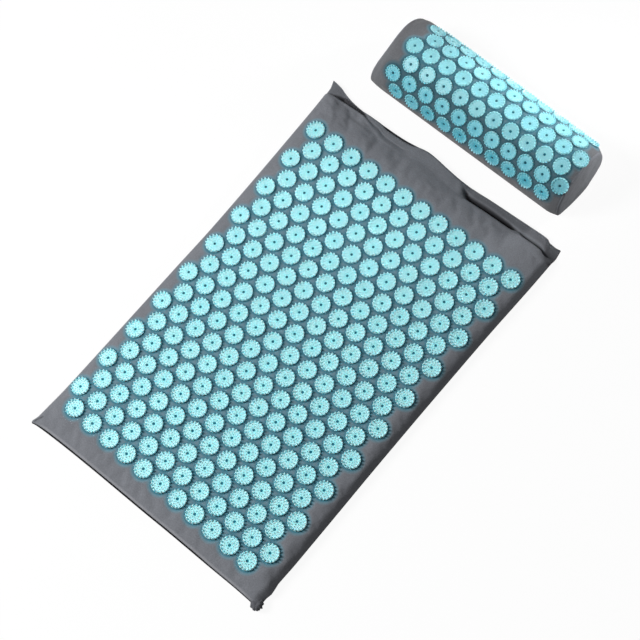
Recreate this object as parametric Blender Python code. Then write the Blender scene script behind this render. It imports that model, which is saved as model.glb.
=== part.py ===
# Acupressure mat with its matching half-round neck pillow.
# Lengths are in metres and angles in radians. +X runs across the mat, +Y to its head end, +Z up.
# The origin is the middle of the mat's underside, on the floor.
import math

import bmesh
import bpy
from mathutils import Vector
from mathutils.geometry import delaunay_2d_cdt, intersect_point_line

# Spiked disc: a moulded plastic rosette with a crown of points round its edge
DISC_RADIUS = 0.013
SPIKES = 12
SPIKE_HEIGHT = 0.0045
SPIKE_LEAN = 0.0008
HUB_HEIGHT = 0.0012
DISC_TURN = math.radians(137.5)

# Fields of discs, in staggered rows
ROW_STEP_SHARE = 0.85
MAT_DISC_GAP = 0.0063
MAT_ROWS = 20
MAT_LONG_ROW = 12
FIELD_TURN = math.radians(-1.27)
PILLOW_DISC_GAP = 0.0028
PILLOW_ROWS = 7
PILLOW_LONG_ROW = 11
PILLOW_FIELD_SHIFT = 0.0045

# Cloth and what keeps its pieces apart
FABRIC = 0.001
CLEARANCE = 0.0003

# Mat cover, from the outer seam inwards
SIDE_MARGIN = 0.0036
FOOT_MARGIN = 0.021
HEAD_MARGIN = 0.040
RIM_WIDTH = 0.006
BASE_RIM_WIDTH = 0.008
SHOULDER_WIDTH = 0.035
SIDE_DRAW_IN = 0.004
END_DRAW_IN = 0.002
EAR_REACH = 0.004
EAR_POWER = 24
EAR_SINK_SHARE = 0.45
SEAM_HEIGHT = 0.008
RIM_RISE = 0.0085
SHOULDER_RISE = 0.0055
CROWN_RISE = 0.0025

# Mouth of the cover at the head end, shut by hook and loop tape
MOUTH_LIP = 0.015
TAPE_WIDTH = 0.009
TAPE_THICKNESS = 0.001
TAPE_LENGTH_SHARE = 0.86
CORE_NOSE_SHARE = 0.5
CORE_SINK_SHARE = 0.6

# Pillow: a half-round bolster on a flat base
PILLOW_RADIUS = 0.060
PILLOW_AXIS_HEIGHT = 0.020
PILLOW_END_MARGIN = 0.001
PILLOW_END_ROUND = 0.007
PILLOW_END_BULGE = 0.008
PILLOW_END_SHRINK_SHARE = 0.10
PILLOW_DISTANCE = 0.033
PILLOW_OFFSET = 0.010

# How finely the soft shapes are drawn
END_SEGMENTS = 8
SIDE_SEGMENTS = 12
RIM_SHARES = (0, 0.15, 0.5, 1)
SHOULDER_SHARES = (0.35, 0.7, 1)
CROWN_LINES = 3
ARCH_SEGMENTS = 18
BED_SEGMENTS = 6
DISH_SHARES = (1, 0.86, 0.56, 0.26)
BASE_LINE_SEGMENTS = 5

# Worked out from the sizes above
MAT_PITCH = 2 * DISC_RADIUS + MAT_DISC_GAP
MAT_ROW_STEP = MAT_PITCH * ROW_STEP_SHARE
FIELD_WIDTH = (MAT_LONG_ROW - 1) * MAT_PITCH
FIELD_LENGTH = (MAT_ROWS - 1) * MAT_ROW_STEP
TURN_COS = abs(math.cos(FIELD_TURN))
TURN_SIN = abs(math.sin(FIELD_TURN))
FIELD_REACH_X = (FIELD_WIDTH * TURN_COS + FIELD_LENGTH * TURN_SIN) / 2 + DISC_RADIUS
FIELD_REACH_Y = (FIELD_LENGTH * TURN_COS + FIELD_WIDTH * TURN_SIN) / 2 + DISC_RADIUS
HALF_WIDTH = FIELD_REACH_X + SIDE_MARGIN + RIM_WIDTH
HALF_LENGTH = FIELD_REACH_Y + (FOOT_MARGIN + HEAD_MARGIN + MOUTH_LIP) / 2 + RIM_WIDTH
FIELD_CENTRE_Y = FIELD_REACH_Y + FOOT_MARGIN + RIM_WIDTH - HALF_LENGTH
RIM_TOP = SEAM_HEIGHT + RIM_RISE
MOUTH_PARTING = TAPE_THICKNESS + CLEARANCE * 3 / 2

PILLOW_PITCH = 2 * DISC_RADIUS + PILLOW_DISC_GAP
PILLOW_ROW_STEP = PILLOW_PITCH * ROW_STEP_SHARE
PILLOW_BED = (PILLOW_LONG_ROW - 1) / 2 * PILLOW_PITCH + DISC_RADIUS + PILLOW_END_MARGIN
PILLOW_HALF = PILLOW_BED + PILLOW_END_ROUND
PILLOW_FLOOR = FABRIC + CLEARANCE
PILLOW_Y = HALF_LENGTH + PILLOW_DISTANCE + PILLOW_RADIUS


def clear_scene():
    for thing in list(bpy.data.objects):
        bpy.data.objects.remove(thing, do_unlink=True)


def material(name, colour, roughness):
    made = bpy.data.materials.new(name)
    made.use_nodes = True
    shader = made.node_tree.nodes["Principled BSDF"]
    shader.inputs["Base Color"].default_value = (*colour, 1)
    shader.inputs["Roughness"].default_value = roughness
    made.diffuse_color = (*colour, 1)
    return made


def finish(mesh, name, materials, location=(0, 0, 0)):
    """Turn a bmesh into an object of the model's collection."""
    bmesh.ops.recalc_face_normals(mesh, faces=mesh.faces[:])
    data = bpy.data.meshes.new(name)
    mesh.to_mesh(data)
    mesh.free()
    for each in materials:
        data.materials.append(each)
    made = bpy.data.objects.new(name, data)
    made.location = location
    parts.objects.link(made)
    return made


def quarter_round(share):
    """Rise of a quarter round at a share of its width."""
    return math.sqrt(1 - (1 - share) ** 2)


def strip(mesh, first, second, closed=True):
    """Faces between two rows of the same number of vertices."""
    count = len(first)
    for k in range(count if closed else count - 1):
        after = (k + 1) % count
        mesh.faces.new((first[k], first[after], second[after], second[k]))


def prism(mesh, outline, low, high):
    """An upright solid on an outline of (x, y) points."""
    bottom = [mesh.verts.new((x, y, low)) for x, y in outline]
    top = [mesh.verts.new((x, y, high)) for x, y in outline]
    mesh.faces.new(bottom)
    mesh.faces.new(top)
    strip(mesh, bottom, top)


def raised(place, x, y, rise):
    """The point that stands above the cloth at (x, y), square to it."""
    here = place(x, y)
    across = place(x + FABRIC, y) - here
    along = place(x, y + FABRIC) - here
    return here + across.cross(along).normalized() * rise


def disc_centres(rows, long_row, pitch, row_step, long_first):
    """Centres of staggered rows of discs about (0, 0), from the head end down."""
    centres = []
    for row in range(rows):
        is_long = (row % 2 == 0) == long_first
        count = long_row if is_long else long_row - 1
        y = ((rows - 1) / 2 - row) * row_step
        for column in range(count):
            centres.append(((column - (count - 1) / 2) * pitch, y))
    return centres


def from_line(point, start, end):
    """Distance of a point of the pattern from a straight line between two others."""
    nearest, share = intersect_point_line(point, start, end)
    if share <= 0:
        nearest = start
    elif share >= 1:
        nearest = end
    return (Vector(point) - Vector(nearest).to_2d()).length


def sheet(mesh, border, place, lines=(), centres=()):
    """Cloth inside a border, with a spiked disc at each centre.

    The border is a list of (x, y, vertex) on the flat pattern, and place takes a
    point of the pattern to its place in space. Lines are rows of pattern points that
    the cloth follows from one to the next, where no disc is in the way.
    """
    flat = [Vector((x, y)) for x, y, _ in border]
    verts = [vertex for _, _, vertex in border]
    owners = [None] * len(border)
    edges = [(k, (k + 1) % len(border)) for k in range(len(border))]
    rings = []
    for number, (cx, cy) in enumerate(centres):
        first = len(flat)
        turn = number * DISC_TURN
        for k in range(SPIKES):
            angle = turn + math.tau * k / SPIKES
            x = cx + DISC_RADIUS * math.cos(angle)
            y = cy + DISC_RADIUS * math.sin(angle)
            flat.append(Vector((x, y)))
            verts.append(mesh.verts.new(place(x, y)))
            owners.append(number)
            edges.append((first + k, first + (k + 1) % SPIKES))
        rings.append((cx, cy, turn, verts[first:first + SPIKES]))
    room = DISC_RADIUS + CLEARANCE
    for line in lines:
        before = None
        for here in line:
            if any(math.dist(here, centre) < room for centre in centres):
                before = None
                continue
            if before and all(from_line(centre, before, here) > room for centre in centres):
                edges.append((len(flat) - 1, len(flat)))
            before = here
            flat.append(Vector(here))
            verts.append(mesh.verts.new(place(*here)))
            owners.append(None)
    # The pattern is triangulated in units of the cloth's thickness
    scaled = [point / FABRIC for point in flat]
    found = delaunay_2d_cdt(scaled, edges, [], 1, CLEARANCE)
    for triangle in found[2]:
        corners = [found[3][k][0] for k in triangle]
        owner = owners[corners[0]]
        if owner is None or any(owners[k] != owner for k in corners):
            mesh.faces.new([verts[k] for k in corners])
    for cx, cy, turn, ring in rings:
        spiked_disc(mesh, place, cx, cy, turn, ring)


def spiked_disc(mesh, place, cx, cy, turn, ring):
    """A crown of points on a ring of the cloth: each rises at the edge and falls to the hub."""
    hub = mesh.verts.new(raised(place, cx, cy, HUB_HEIGHT))
    tip_radius = DISC_RADIUS * math.cos(math.pi / SPIKES) - SPIKE_LEAN
    for k in range(SPIKES):
        angle = turn + math.tau * (2 * k + 1) / (2 * SPIKES)
        x = cx + tip_radius * math.cos(angle)
        y = cy + tip_radius * math.sin(angle)
        tip = mesh.verts.new(raised(place, x, y, SPIKE_HEIGHT))
        this, following = ring[k], ring[(k + 1) % SPIKES]
        for corners in ((this, following, tip), (following, hub, tip), (hub, this, tip)):
            mesh.faces.new(corners).material_index = 1


def mat_height(x, y):
    """Height of the mat's top cloth inside its rim: a soft shoulder, then a low crown."""
    from_side = HALF_WIDTH - SIDE_DRAW_IN - RIM_WIDTH - abs(x)
    from_foot = y + HALF_LENGTH - RIM_WIDTH
    from_head = HALF_LENGTH - MOUTH_LIP - RIM_WIDTH - y
    shoulder = SHOULDER_RISE
    for distance in (from_side, from_foot, from_head):
        share = min(max(distance / SHOULDER_WIDTH, 0), 1)
        shoulder *= 1 - (1 - share) ** 2
    crown = CROWN_RISE * (1 - (x / HALF_WIDTH) ** 2) * (1 - (y / HALF_LENGTH) ** 2)
    return RIM_TOP + shoulder + crown


def mat_stops(side_inset, head_inset, ear_reach):
    """Stations round the mat, anticlockwise from its left foot corner.

    Each is (x, y, how near it is to a corner as a share, whether it is at the head).
    """
    half_x = HALF_WIDTH - side_inset
    low = side_inset - HALF_LENGTH
    high = HALF_LENGTH - head_inset
    corners = ((-half_x, low), (half_x, low), (half_x, high), (-half_x, high))
    outward = ((0, -1), (1, 0), (0, 1), (-1, 0))
    stops = []
    for side in range(4):
        start, end = corners[side], corners[(side + 1) % 4]
        across, along = outward[side]
        ends = side % 2 == 0
        before = outward[side - 1]
        count = END_SEGMENTS if ends else SIDE_SEGMENTS
        for k in range(count):
            share = (1 - math.cos(math.pi * k / count)) / 2
            off_middle = abs(2 * share - 1)
            corner = off_middle ** EAR_POWER
            draw_in = (END_DRAW_IN if ends else SIDE_DRAW_IN) * (1 - off_middle ** 2)
            push = ear_reach * corner - draw_in
            x = start[0] + (end[0] - start[0]) * share + across * push
            y = start[1] + (end[1] - start[1]) * share + along * push
            if k == 0:
                x += before[0] * ear_reach
                y += before[1] * ear_reach
            stops.append((x, y, corner, side == 2 or (side == 3 and k == 0)))
    return stops


def mat_skin(mesh, up, depth, core=False):
    """One surface of the mat, as rings of vertices from the seam to the edge of its field.

    up is 1 for the top and -1 for the underside, and depth is how far the surface
    lies inside the cover's outer skin. The core has no mouth lip and no ears.
    """
    rim = RIM_WIDTH if up > 0 else BASE_RIM_WIDTH
    full = RIM_RISE if up > 0 else SEAM_HEIGHT
    rings = []
    for i, share in enumerate(RIM_SHARES):
        inset = depth + share * (rim - depth)
        lip = MOUTH_LIP if i or core else 0
        ear = EAR_REACH * (1 - share)
        ring = []
        for x, y, corner, head in mat_stops(inset, inset + lip, 0 if core else ear):
            mouth = head and corner < 1
            parting = MOUTH_PARTING if mouth else CLEARANCE / 2
            if core:
                parting = 0
            reach = full - parting - depth
            rise = reach * quarter_round(share)
            if head and i < 2:
                # The head end has its flat lip here, and the core a thin nose behind it
                lip_rise = FABRIC if depth == 0 and (i or mouth) else 0
                rise = reach * share * CORE_NOSE_SHARE if core else lip_rise
            if up > 0:
                sink = CORE_SINK_SHARE if core else EAR_SINK_SHARE
                rise *= 1 - sink * corner * share
            ring.append(mesh.verts.new((x, y, SEAM_HEIGHT + up * (parting + rise))))
        rings.append(ring)
    for outer, inner in zip(rings, rings[1:]):
        strip(mesh, outer, inner)
    return rings


def mat_lines():
    """Lines across the pattern that carry the mat's shoulder and crown."""
    side = HALF_WIDTH - SIDE_DRAW_IN - RIM_WIDTH
    foot = RIM_WIDTH - HALF_LENGTH
    head = HALF_LENGTH - MOUTH_LIP - RIM_WIDTH
    insets = [share * SHOULDER_WIDTH for share in SHOULDER_SHARES]
    columns = [side - inset for inset in insets if inset != insets[1]]
    columns = [-x for x in columns] + [0] + columns[::-1]
    rows = [foot + inset for inset in insets]
    step = (head - foot - 2 * insets[-1]) / (CROWN_LINES + 1)
    rows += [rows[-1] + step * (k + 1) for k in range(CROWN_LINES)]
    rows += [head - inset for inset in reversed(insets)]
    return [[(x, y) for x in columns] for y in rows]


def mat_field(mesh, ring, depth, centres=()):
    """The top cloth inside the innermost ring of a mat surface."""
    def place(x, y):
        return Vector((x, y, mat_height(x, y) - depth))
    border = [(vertex.co.x, vertex.co.y, vertex) for vertex in ring]
    sheet(mesh, border, place, mat_lines(), centres)


def make_mat_top():
    cos, sin = math.cos(FIELD_TURN), math.sin(FIELD_TURN)
    centres = []
    for x, y in disc_centres(MAT_ROWS, MAT_LONG_ROW, MAT_PITCH, MAT_ROW_STEP, True):
        centres.append((x * cos - y * sin, FIELD_CENTRE_Y + x * sin + y * cos))
    mesh = bmesh.new()
    outer = mat_skin(mesh, 1, 0)
    inner = mat_skin(mesh, 1, FABRIC)
    mat_field(mesh, outer[-1], 0, centres)
    mat_field(mesh, inner[-1], FABRIC)
    strip(mesh, outer[0], inner[0])
    return finish(mesh, "mat_top_panel", (cloth, plastic))


def make_mat_base():
    mesh = bmesh.new()
    outer = mat_skin(mesh, -1, 0)
    inner = mat_skin(mesh, -1, FABRIC)
    mesh.faces.new(outer[-1])
    mesh.faces.new(inner[-1])
    strip(mesh, outer[0], inner[0])
    return finish(mesh, "mat_base_panel", (cloth,))


def make_mat_core():
    mesh = bmesh.new()
    depth = FABRIC + CLEARANCE
    top = mat_skin(mesh, 1, depth, core=True)
    base = mat_skin(mesh, -1, depth, core=True)
    mat_field(mesh, top[-1], depth)
    mesh.faces.new(base[-1])
    bmesh.ops.remove_doubles(mesh, verts=top[0] + base[0], dist=CLEARANCE / 10)
    return finish(mesh, "mat_foam_core", (foam,))


def make_mat_tape(name, side):
    """One strip of the mouth's closure, on the top cloth for side 1 and on the base for -1."""
    mesh = bmesh.new()
    half_x = HALF_WIDTH * TAPE_LENGTH_SHARE
    half_y = TAPE_WIDTH / 2
    outline = ((-half_x, -half_y), (half_x, -half_y), (half_x, half_y), (-half_x, half_y))
    prism(mesh, outline, CLEARANCE / 2, CLEARANCE / 2 + TAPE_THICKNESS)
    for vertex in mesh.verts:
        vertex.co.z *= side
    middle = HALF_LENGTH - END_DRAW_IN - (MOUTH_LIP + FABRIC - END_DRAW_IN) / 2
    return finish(mesh, name, (tape,), (0, middle, SEAM_HEIGHT))


def arch_point(x, share, depth):
    """A point of the half-round pillow: share runs from -1 to 1 over the arch."""
    radius = PILLOW_RADIUS - depth
    drop = PILLOW_AXIS_HEIGHT - PILLOW_FLOOR
    theta = share * math.acos(-drop / radius)
    from_end = min(max((PILLOW_HALF - abs(x)) / PILLOW_END_ROUND, 0), 1)
    scale = 1 - PILLOW_END_SHRINK_SHARE * (1 - quarter_round(from_end))
    y = radius * math.sin(theta) * scale
    z = PILLOW_FLOOR + (drop + radius * math.cos(theta)) * scale
    return Vector((x, y, z))


def pillow_stations():
    """Stations along the pillow, closer together on its rounded ends."""
    ends = [PILLOW_HALF - share * PILLOW_END_ROUND for share in RIM_SHARES]
    bed = [PILLOW_BED * (2 * k / BED_SEGMENTS - 1) for k in range(1, BED_SEGMENTS)]
    return [-x for x in ends] + bed + ends[::-1]


def arch_shares():
    return [2 * k / ARCH_SEGMENTS - 1 for k in range(ARCH_SEGMENTS + 1)]


def arch_grid(mesh, depth, wanted):
    """Vertices of the arch by station and by share, where wanted says so."""
    grid = {}
    for i, x in enumerate(pillow_stations()):
        for j, share in enumerate(arch_shares()):
            if wanted(i, j):
                grid[i, j] = mesh.verts.new(arch_point(x, share, depth))
    return grid


def arch_faces(mesh, grid, columns):
    for i in columns:
        for j in range(ARCH_SEGMENTS):
            corners = (grid[i, j], grid[i + 1, j], grid[i + 1, j + 1], grid[i, j + 1])
            mesh.faces.new(corners)


def arch_border(grid):
    """The open edge of an arch, anticlockwise seen from above."""
    last = len(pillow_stations()) - 1
    keys = [(i, 0) for i in range(last)]
    keys += [(last, j) for j in range(ARCH_SEGMENTS)]
    keys += [(i, ARCH_SEGMENTS) for i in range(last, 0, -1)]
    keys += [(0, j) for j in range(ARCH_SEGMENTS, 0, -1)]
    return [grid[key] for key in keys]


def make_pillow_top():
    """The pillow's arched cloth with its discs, laid out flat and then bent."""
    stations = pillow_stations()
    last = len(stations) - 1
    first_bed = len(RIM_SHARES) - 1
    last_bed = last - first_bed
    drop = PILLOW_AXIS_HEIGHT - PILLOW_FLOOR
    half_arc = PILLOW_RADIUS * math.acos(-drop / PILLOW_RADIUS)

    def on_edge_or_end(i, j):
        return not first_bed < i < last_bed or j in (0, ARCH_SEGMENTS)

    def place(x, y):
        return arch_point(x, y / half_arc, 0)

    mesh = bmesh.new()
    outer = arch_grid(mesh, 0, on_edge_or_end)
    ends = [*range(first_bed), *range(last_bed, last)]
    arch_faces(mesh, outer, ends)
    keys = [(i, 0) for i in range(first_bed, last_bed)]
    keys += [(last_bed, j) for j in range(ARCH_SEGMENTS)]
    keys += [(i, ARCH_SEGMENTS) for i in range(last_bed, first_bed, -1)]
    keys += [(first_bed, j) for j in range(ARCH_SEGMENTS, 0, -1)]
    shares = arch_shares()
    border = [(stations[i], shares[j] * half_arc, outer[i, j]) for i, j in keys]
    near_end = PILLOW_BED - PILLOW_PITCH / 4
    columns = [-near_end, *stations[first_bed + 1:last_bed], near_end]
    lines = [[(x, share * half_arc) for x in columns] for share in shares[1:-1]]
    centres = []
    rows = disc_centres(PILLOW_ROWS, PILLOW_LONG_ROW, PILLOW_PITCH, PILLOW_ROW_STEP, False)
    for x, y in rows:
        centres.append((x, y + PILLOW_FIELD_SHIFT))
    sheet(mesh, border, place, lines, centres)
    inner = arch_grid(mesh, FABRIC, lambda i, j: True)
    arch_faces(mesh, inner, range(last))
    strip(mesh, arch_border(outer), arch_border(inner))
    return finish(mesh, "pillow_top_panel", (cloth, plastic), PILLOW_PLACE)


def make_pillow_base():
    """The flat cloth under the pillow, as wide as the arch at each station."""
    mesh = bmesh.new()
    past_ends = PILLOW_HALF + CLEARANCE + FABRIC
    near = []
    for x in pillow_stations():
        near.append((x, -arch_point(x, 1, 0).y))
    near[0] = (-past_ends, near[0][1])
    near[-1] = (past_ends, near[-1][1])
    far = [(x, -y) for x, y in reversed(near)]
    prism(mesh, near + far, 0, FABRIC)
    return finish(mesh, "pillow_base_panel", (cloth,), PILLOW_PLACE)


def end_loop(depth):
    """The pillow's end outline as (y, z): the arch, then back along its base."""
    points = [arch_point(PILLOW_HALF, share, depth) for share in arch_shares()]
    start, end = points[-1], points[0]
    for k in range(1, BASE_LINE_SEGMENTS):
        points.append(start.lerp(end, k / BASE_LINE_SEGMENTS))
    return [(point.y, point.z) for point in points]


def dish(mesh, depth, side, x, rim=None):
    """A bulging end: rings that shrink to a middle point. rim gives existing vertices."""
    loop = end_loop(depth)
    middle = PILLOW_AXIS_HEIGHT
    rings = [rim] if rim else []
    for share in DISH_SHARES[len(rings):]:
        bulge = x + PILLOW_END_BULGE * (1 - share ** 2)
        ring = []
        for y, z in loop:
            point = (side * bulge, y * share, middle + (z - middle) * share)
            ring.append(mesh.verts.new(point))
        rings.append(ring)
    for outer, inner in zip(rings, rings[1:]):
        strip(mesh, outer, inner)
    tip = mesh.verts.new((side * (x + PILLOW_END_BULGE), 0, middle))
    for k, vertex in enumerate(rings[-1]):
        mesh.faces.new((vertex, rings[-1][(k + 1) % len(loop)], tip))
    return rings[0]


def make_pillow_end(name, side):
    mesh = bmesh.new()
    inner = dish(mesh, 0, side, PILLOW_HALF + CLEARANCE)
    outer = dish(mesh, 0, side, PILLOW_HALF + CLEARANCE + FABRIC)
    strip(mesh, inner, outer)
    return finish(mesh, name, (cloth,), PILLOW_PLACE)


def make_pillow_core():
    mesh = bmesh.new()
    depth = FABRIC + CLEARANCE
    grid = arch_grid(mesh, depth, lambda i, j: True)
    last = len(pillow_stations()) - 1
    arch_faces(mesh, grid, range(last))
    lines = []
    for i in range(last + 1):
        start, end = grid[i, ARCH_SEGMENTS], grid[i, 0]
        line = [start]
        for k in range(1, BASE_LINE_SEGMENTS):
            if i in (0, last):
                line.append(mesh.verts.new(start.co.lerp(end.co, k / BASE_LINE_SEGMENTS)))
        line.append(end)
        lines.append(line)
    # The flat underside: one face, with the extra points only on its two ends
    mesh.faces.new([line[-1] for line in lines] + lines[last][-2:0:-1]
                   + [line[0] for line in reversed(lines)] + lines[0][1:-1])
    for side, i in ((-1, 0), (1, last)):
        rim = [grid[i, j] for j in range(ARCH_SEGMENTS + 1)] + lines[i][1:-1]
        dish(mesh, depth, side, PILLOW_HALF, rim)
    for vertex in mesh.verts:
        vertex.co.z += CLEARANCE * (1 - vertex.co.z / (PILLOW_AXIS_HEIGHT + PILLOW_RADIUS))
    return finish(mesh, "pillow_foam_core", (foam,), PILLOW_PLACE)


PILLOW_PLACE = (PILLOW_OFFSET, PILLOW_Y, 0)

clear_scene()
parts = bpy.data.collections.new("acupressure_mat")
bpy.context.scene.collection.children.link(parts)
cloth = material("grey_cloth", (0.14, 0.15, 0.17), 0.9)
plastic = material("blue_plastic", (0.36, 0.80, 0.92), 0.4)
foam = material("foam", (0.85, 0.84, 0.80), 0.95)
tape = material("hook_and_loop_tape", (0.05, 0.05, 0.06), 0.95)
make_mat_top()
make_mat_base()
make_mat_core()
make_mat_tape("mat_loop_tape", 1)
make_mat_tape("mat_hook_tape", -1)
make_pillow_top()
make_pillow_base()
make_pillow_end("pillow_left_end_panel", -1)
make_pillow_end("pillow_right_end_panel", 1)
make_pillow_core()
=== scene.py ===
# Looks of the acupressure mat and its half-round pillow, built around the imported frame.
import math

import bmesh
import bpy
import numpy as np
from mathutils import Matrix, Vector, noise


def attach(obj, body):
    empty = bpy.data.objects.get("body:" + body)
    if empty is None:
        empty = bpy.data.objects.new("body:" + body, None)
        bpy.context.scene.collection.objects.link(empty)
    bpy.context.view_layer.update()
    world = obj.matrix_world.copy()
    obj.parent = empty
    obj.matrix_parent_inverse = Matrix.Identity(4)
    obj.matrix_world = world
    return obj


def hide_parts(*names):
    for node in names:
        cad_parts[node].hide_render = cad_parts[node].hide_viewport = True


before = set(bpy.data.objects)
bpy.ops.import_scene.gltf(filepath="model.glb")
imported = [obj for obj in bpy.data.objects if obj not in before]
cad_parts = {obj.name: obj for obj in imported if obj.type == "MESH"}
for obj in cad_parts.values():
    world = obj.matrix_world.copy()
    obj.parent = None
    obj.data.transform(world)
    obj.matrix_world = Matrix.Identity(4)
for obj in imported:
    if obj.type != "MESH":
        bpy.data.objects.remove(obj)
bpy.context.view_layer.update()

MM = 0.001

# Camera at the photograph's angle
CAMERA_PLACE = (0.6821, -0.3380, 2.1920)
CAMERA_TURN = (18.172, 6.992, 40.434)
CAMERA_LENS = 93.77
CAMERA_SENSOR = 36

# Colours as they show in plain light, written as display values
CLOTH_COLOUR = (0.445, 0.455, 0.478)
# A darker copy of the mat's cloth for the pillow: painted shade
PILLOW_SHADED_CLOTH_COLOUR = (0.40, 0.405, 0.42)
# A painted shadow, tinted teal, in a ring round each disc
CLOTH_DISC_SHADOW_COLOUR = (0.23, 0.45, 0.51)
CLOTH_AMONG_DISCS_COLOUR = (0.39, 0.52, 0.57)
HOLE_COLOUR = (0.0, 0.42, 0.50)
# A painted highlight along the foot's hem
HEM_HIGHLIGHT_COLOUR = (0.66, 0.66, 0.68)
# Painted shade: in folds, in the mouth's groove, on the lip and on the pillow's near side
PAINTED_SHADE_COLOUR = (0.10, 0.10, 0.11)
# The bunched corner is the top's cloth made darker: painted shade
GATHER_SHADED_COLOUR = (0.33, 0.335, 0.355)
# Dark base cloth: partly a darker base fabric, partly painted shadow where it shows as a line
# beyond the top's edge
BASE_CLOTH_AND_SHADOW_COLOUR = (0.20, 0.20, 0.22)
PLASTIC_COLOUR = (0.65, 0.96, 1.0)
PLASTIC_DEEP_COLOUR = (0.50, 0.90, 0.98)
# The pillow's discs: a deeper copy of the mat's plastic, as painted shade, with a deep colour for
# random tone and for painted shade on the near side
PILLOW_SHADED_PLASTIC_COLOUR = (0.60, 0.88, 0.92)
PILLOW_DEEP_AND_SHADED_PLASTIC_COLOUR = (0.26, 0.66, 0.74)
# Paler colours for the spikes' tips and the plate's rim: partly thinner plastic, partly a painted
# highlight
PILLOW_TIP_AND_HIGHLIGHT_COLOUR = (0.66, 0.92, 0.97)
PLASTIC_TIP_AND_HIGHLIGHT_COLOUR = (0.88, 0.98, 1.0)
# In two shades each
FOAM_COLOURS = ((0.90, 0.88, 0.80), (0.80, 0.76, 0.62))
TAPE_COLOURS = ((0.16, 0.16, 0.18), (0.28, 0.28, 0.30))
THREAD_COLOURS = ((0.40, 0.41, 0.43), (0.48, 0.49, 0.52))

# Cloth: its weave, in metres, and where it is darker and bluer round the middle of a disc: a
# painted shadow in a ring round each disc, and a bluer tint among the discs
TWILL_PITCH = 0.0011
THREAD_PITCH = 0.0008
TWILL_SHARE = 0.6
DISC_SHADOW_RING = (14.2, 17.2)
DISC_SHADOW_SHARE = 0.95
AMONG_DISCS = (17.0, 20.5)
AMONG_DISCS_SHARE = 0.85
UNDER_HOLE = 6.0
HEM_HIGHLIGHT_SHARE = 0.55
CLOTH_THICKNESS = 0.8

# How much painted shade darkens the cloth: in the mouth's groove and on its facet, at the crease,
# on the lip's right and left, and among the discs of the pillow's near side
GROOVE_SHADE = 0.9
FACET_SHADE = 0.5
CREASE_SHADE = 0.8
LIP_SHADE = 0.33
LEFT_LIP_SHADE = 0.14
NEAR_SIDE_SHADE = 0.5

# The places in y between which the plastic of the pillow's discs turns from deep to plain: painted
# shade on the near side
PILLOW_NEAR_SHADE_FROM = (362.0, 398.0)

# Mat: nominal half sizes and heights, in millimetres
HALF_WIDTH = 206.0
HALF_LENGTH = 321.7
SEAM_HEIGHT = 8.0
RIM_TOP = 16.5
SHOULDER_RISE = 5.5
SHOULDER_WIDTH = 35.0
CROWN_RISE = 2.5
LEFT_RIM = 6.5
RIGHT_RIM = 9.0
RIGHT_RIM_POWER = 1.2
RIGHT_RIM_MORE_AT_FOOT = 3.0
RIGHT_RIM_MORE_AT_HEAD = 5.0
RIGHT_RIM_FILL = 12.0
FOOT_RIM = 6.0
BASE_RIM = 8.0
SEAM_PINCH = 0.7
PINCH_REACH = 3.0
PINCH_RISE = 1.5
HEAD_ZONE = 46.0
BASE_LIP = 15.0
BASE_LIP_DEPTH = 1.2
CORNER_RIM = 9.0
FOOT_CORNER_ROUND = 4.5
HEAD_CORNER_ROUND = 1.5
DIMPLE = 0.5
BROAD_RUMPLES = 0.8
FINE_RUMPLES = 0.3
PUCKER_HEIGHT = 0.5
PUCKER_FROM_EDGE = 5.0
# A painted highlight along the foot's hem: how far from the foot, and how wide
HEM_HIGHLIGHT_FROM_FOOT = 2.4
HEM_HIGHLIGHT_WIDTH = 1.0

# Rows and columns of the cloth stand this far from its edges, and then evenly apart
EDGE_STEPS = (0, 0.5, 1.1, 2.0, 3.2, 4.8, 7.0, 10.0)
HEAD_STEPS = (0, 0.5, 1.2, *np.arange(2.2, HEAD_ZONE, 1.15))
LIP_STEPS = (0, 1, 2, 4, 8, 12, 14, 15, 16, 17.5, 20, 23, 27)
PILLOW_END_STEPS = (0, 0.3, 1.0, 2.0, 3.4, 5.2, 7.5, 10.0)

# Where the sewn edge really runs: (place along the side, place of the edge)
LEFT_EDGE = ((-322, -213.4), (-316, -211.6), (-309, -209.2), (-290, -207.6), (-255, -205.7),
             (-150, -204), (-32, -202.6), (40, -201.4), (143, -202.7), (219, -204.5),
             (270, -206), (300, -207.6), (309, -208.6), (316, -211), (322, -213.5))
RIGHT_EDGE = ((-322, 205.5), (-306, 204.8), (-298, 206.8), (-291, 207), (-284, 204.8),
              (-270, 205), (-247, 205.6), (-170, 205.4), (-80, 205), (0, 205.2),
              (93, 206), (167, 207), (218, 208.5), (260, 209.6), (300, 210), (322, 207.2))
FOOT_EDGE = ((-206, -328), (-196, -325.4), (-160, -323), (-127, -321.8), (-75, -320.8),
             (0, -320), (50, -319), (120, -318.5), (165, -317.8), (206, -318.5))
HEAD_EDGE = ((-206, 330), (-198, 329.2), (-188, 327.8), (-176, 324), (-158, 320.3), (-138, 318.8),
             (-90, 319), (-65, 320), (-46, 322.5), (-24, 325.8), (-9, 324.8), (7, 322.8),
             (41, 320), (63, 321), (88, 322.7), (125, 324.1), (154, 325), (176, 325.8),
             (184, 325.2), (189, 322.4), (198, 322.6), (206, 324.4))

# How far the base cloth shows beyond the top cloth's edge, where its dark colour is painted shadow:
# (place across, value)
BASE_BEYOND_HEAD = ((-206, 0.2), (-108, 0.2), (-94, 3.2), (-52, 3.2), (-38, 0.3), (206, 0.3))
BASE_BEYOND_FOOT = ((-206, 0.3), (-196, 0.9), (-180, 1.7), (90, 1.7), (130, 1.1), (206, 0.6))

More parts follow.
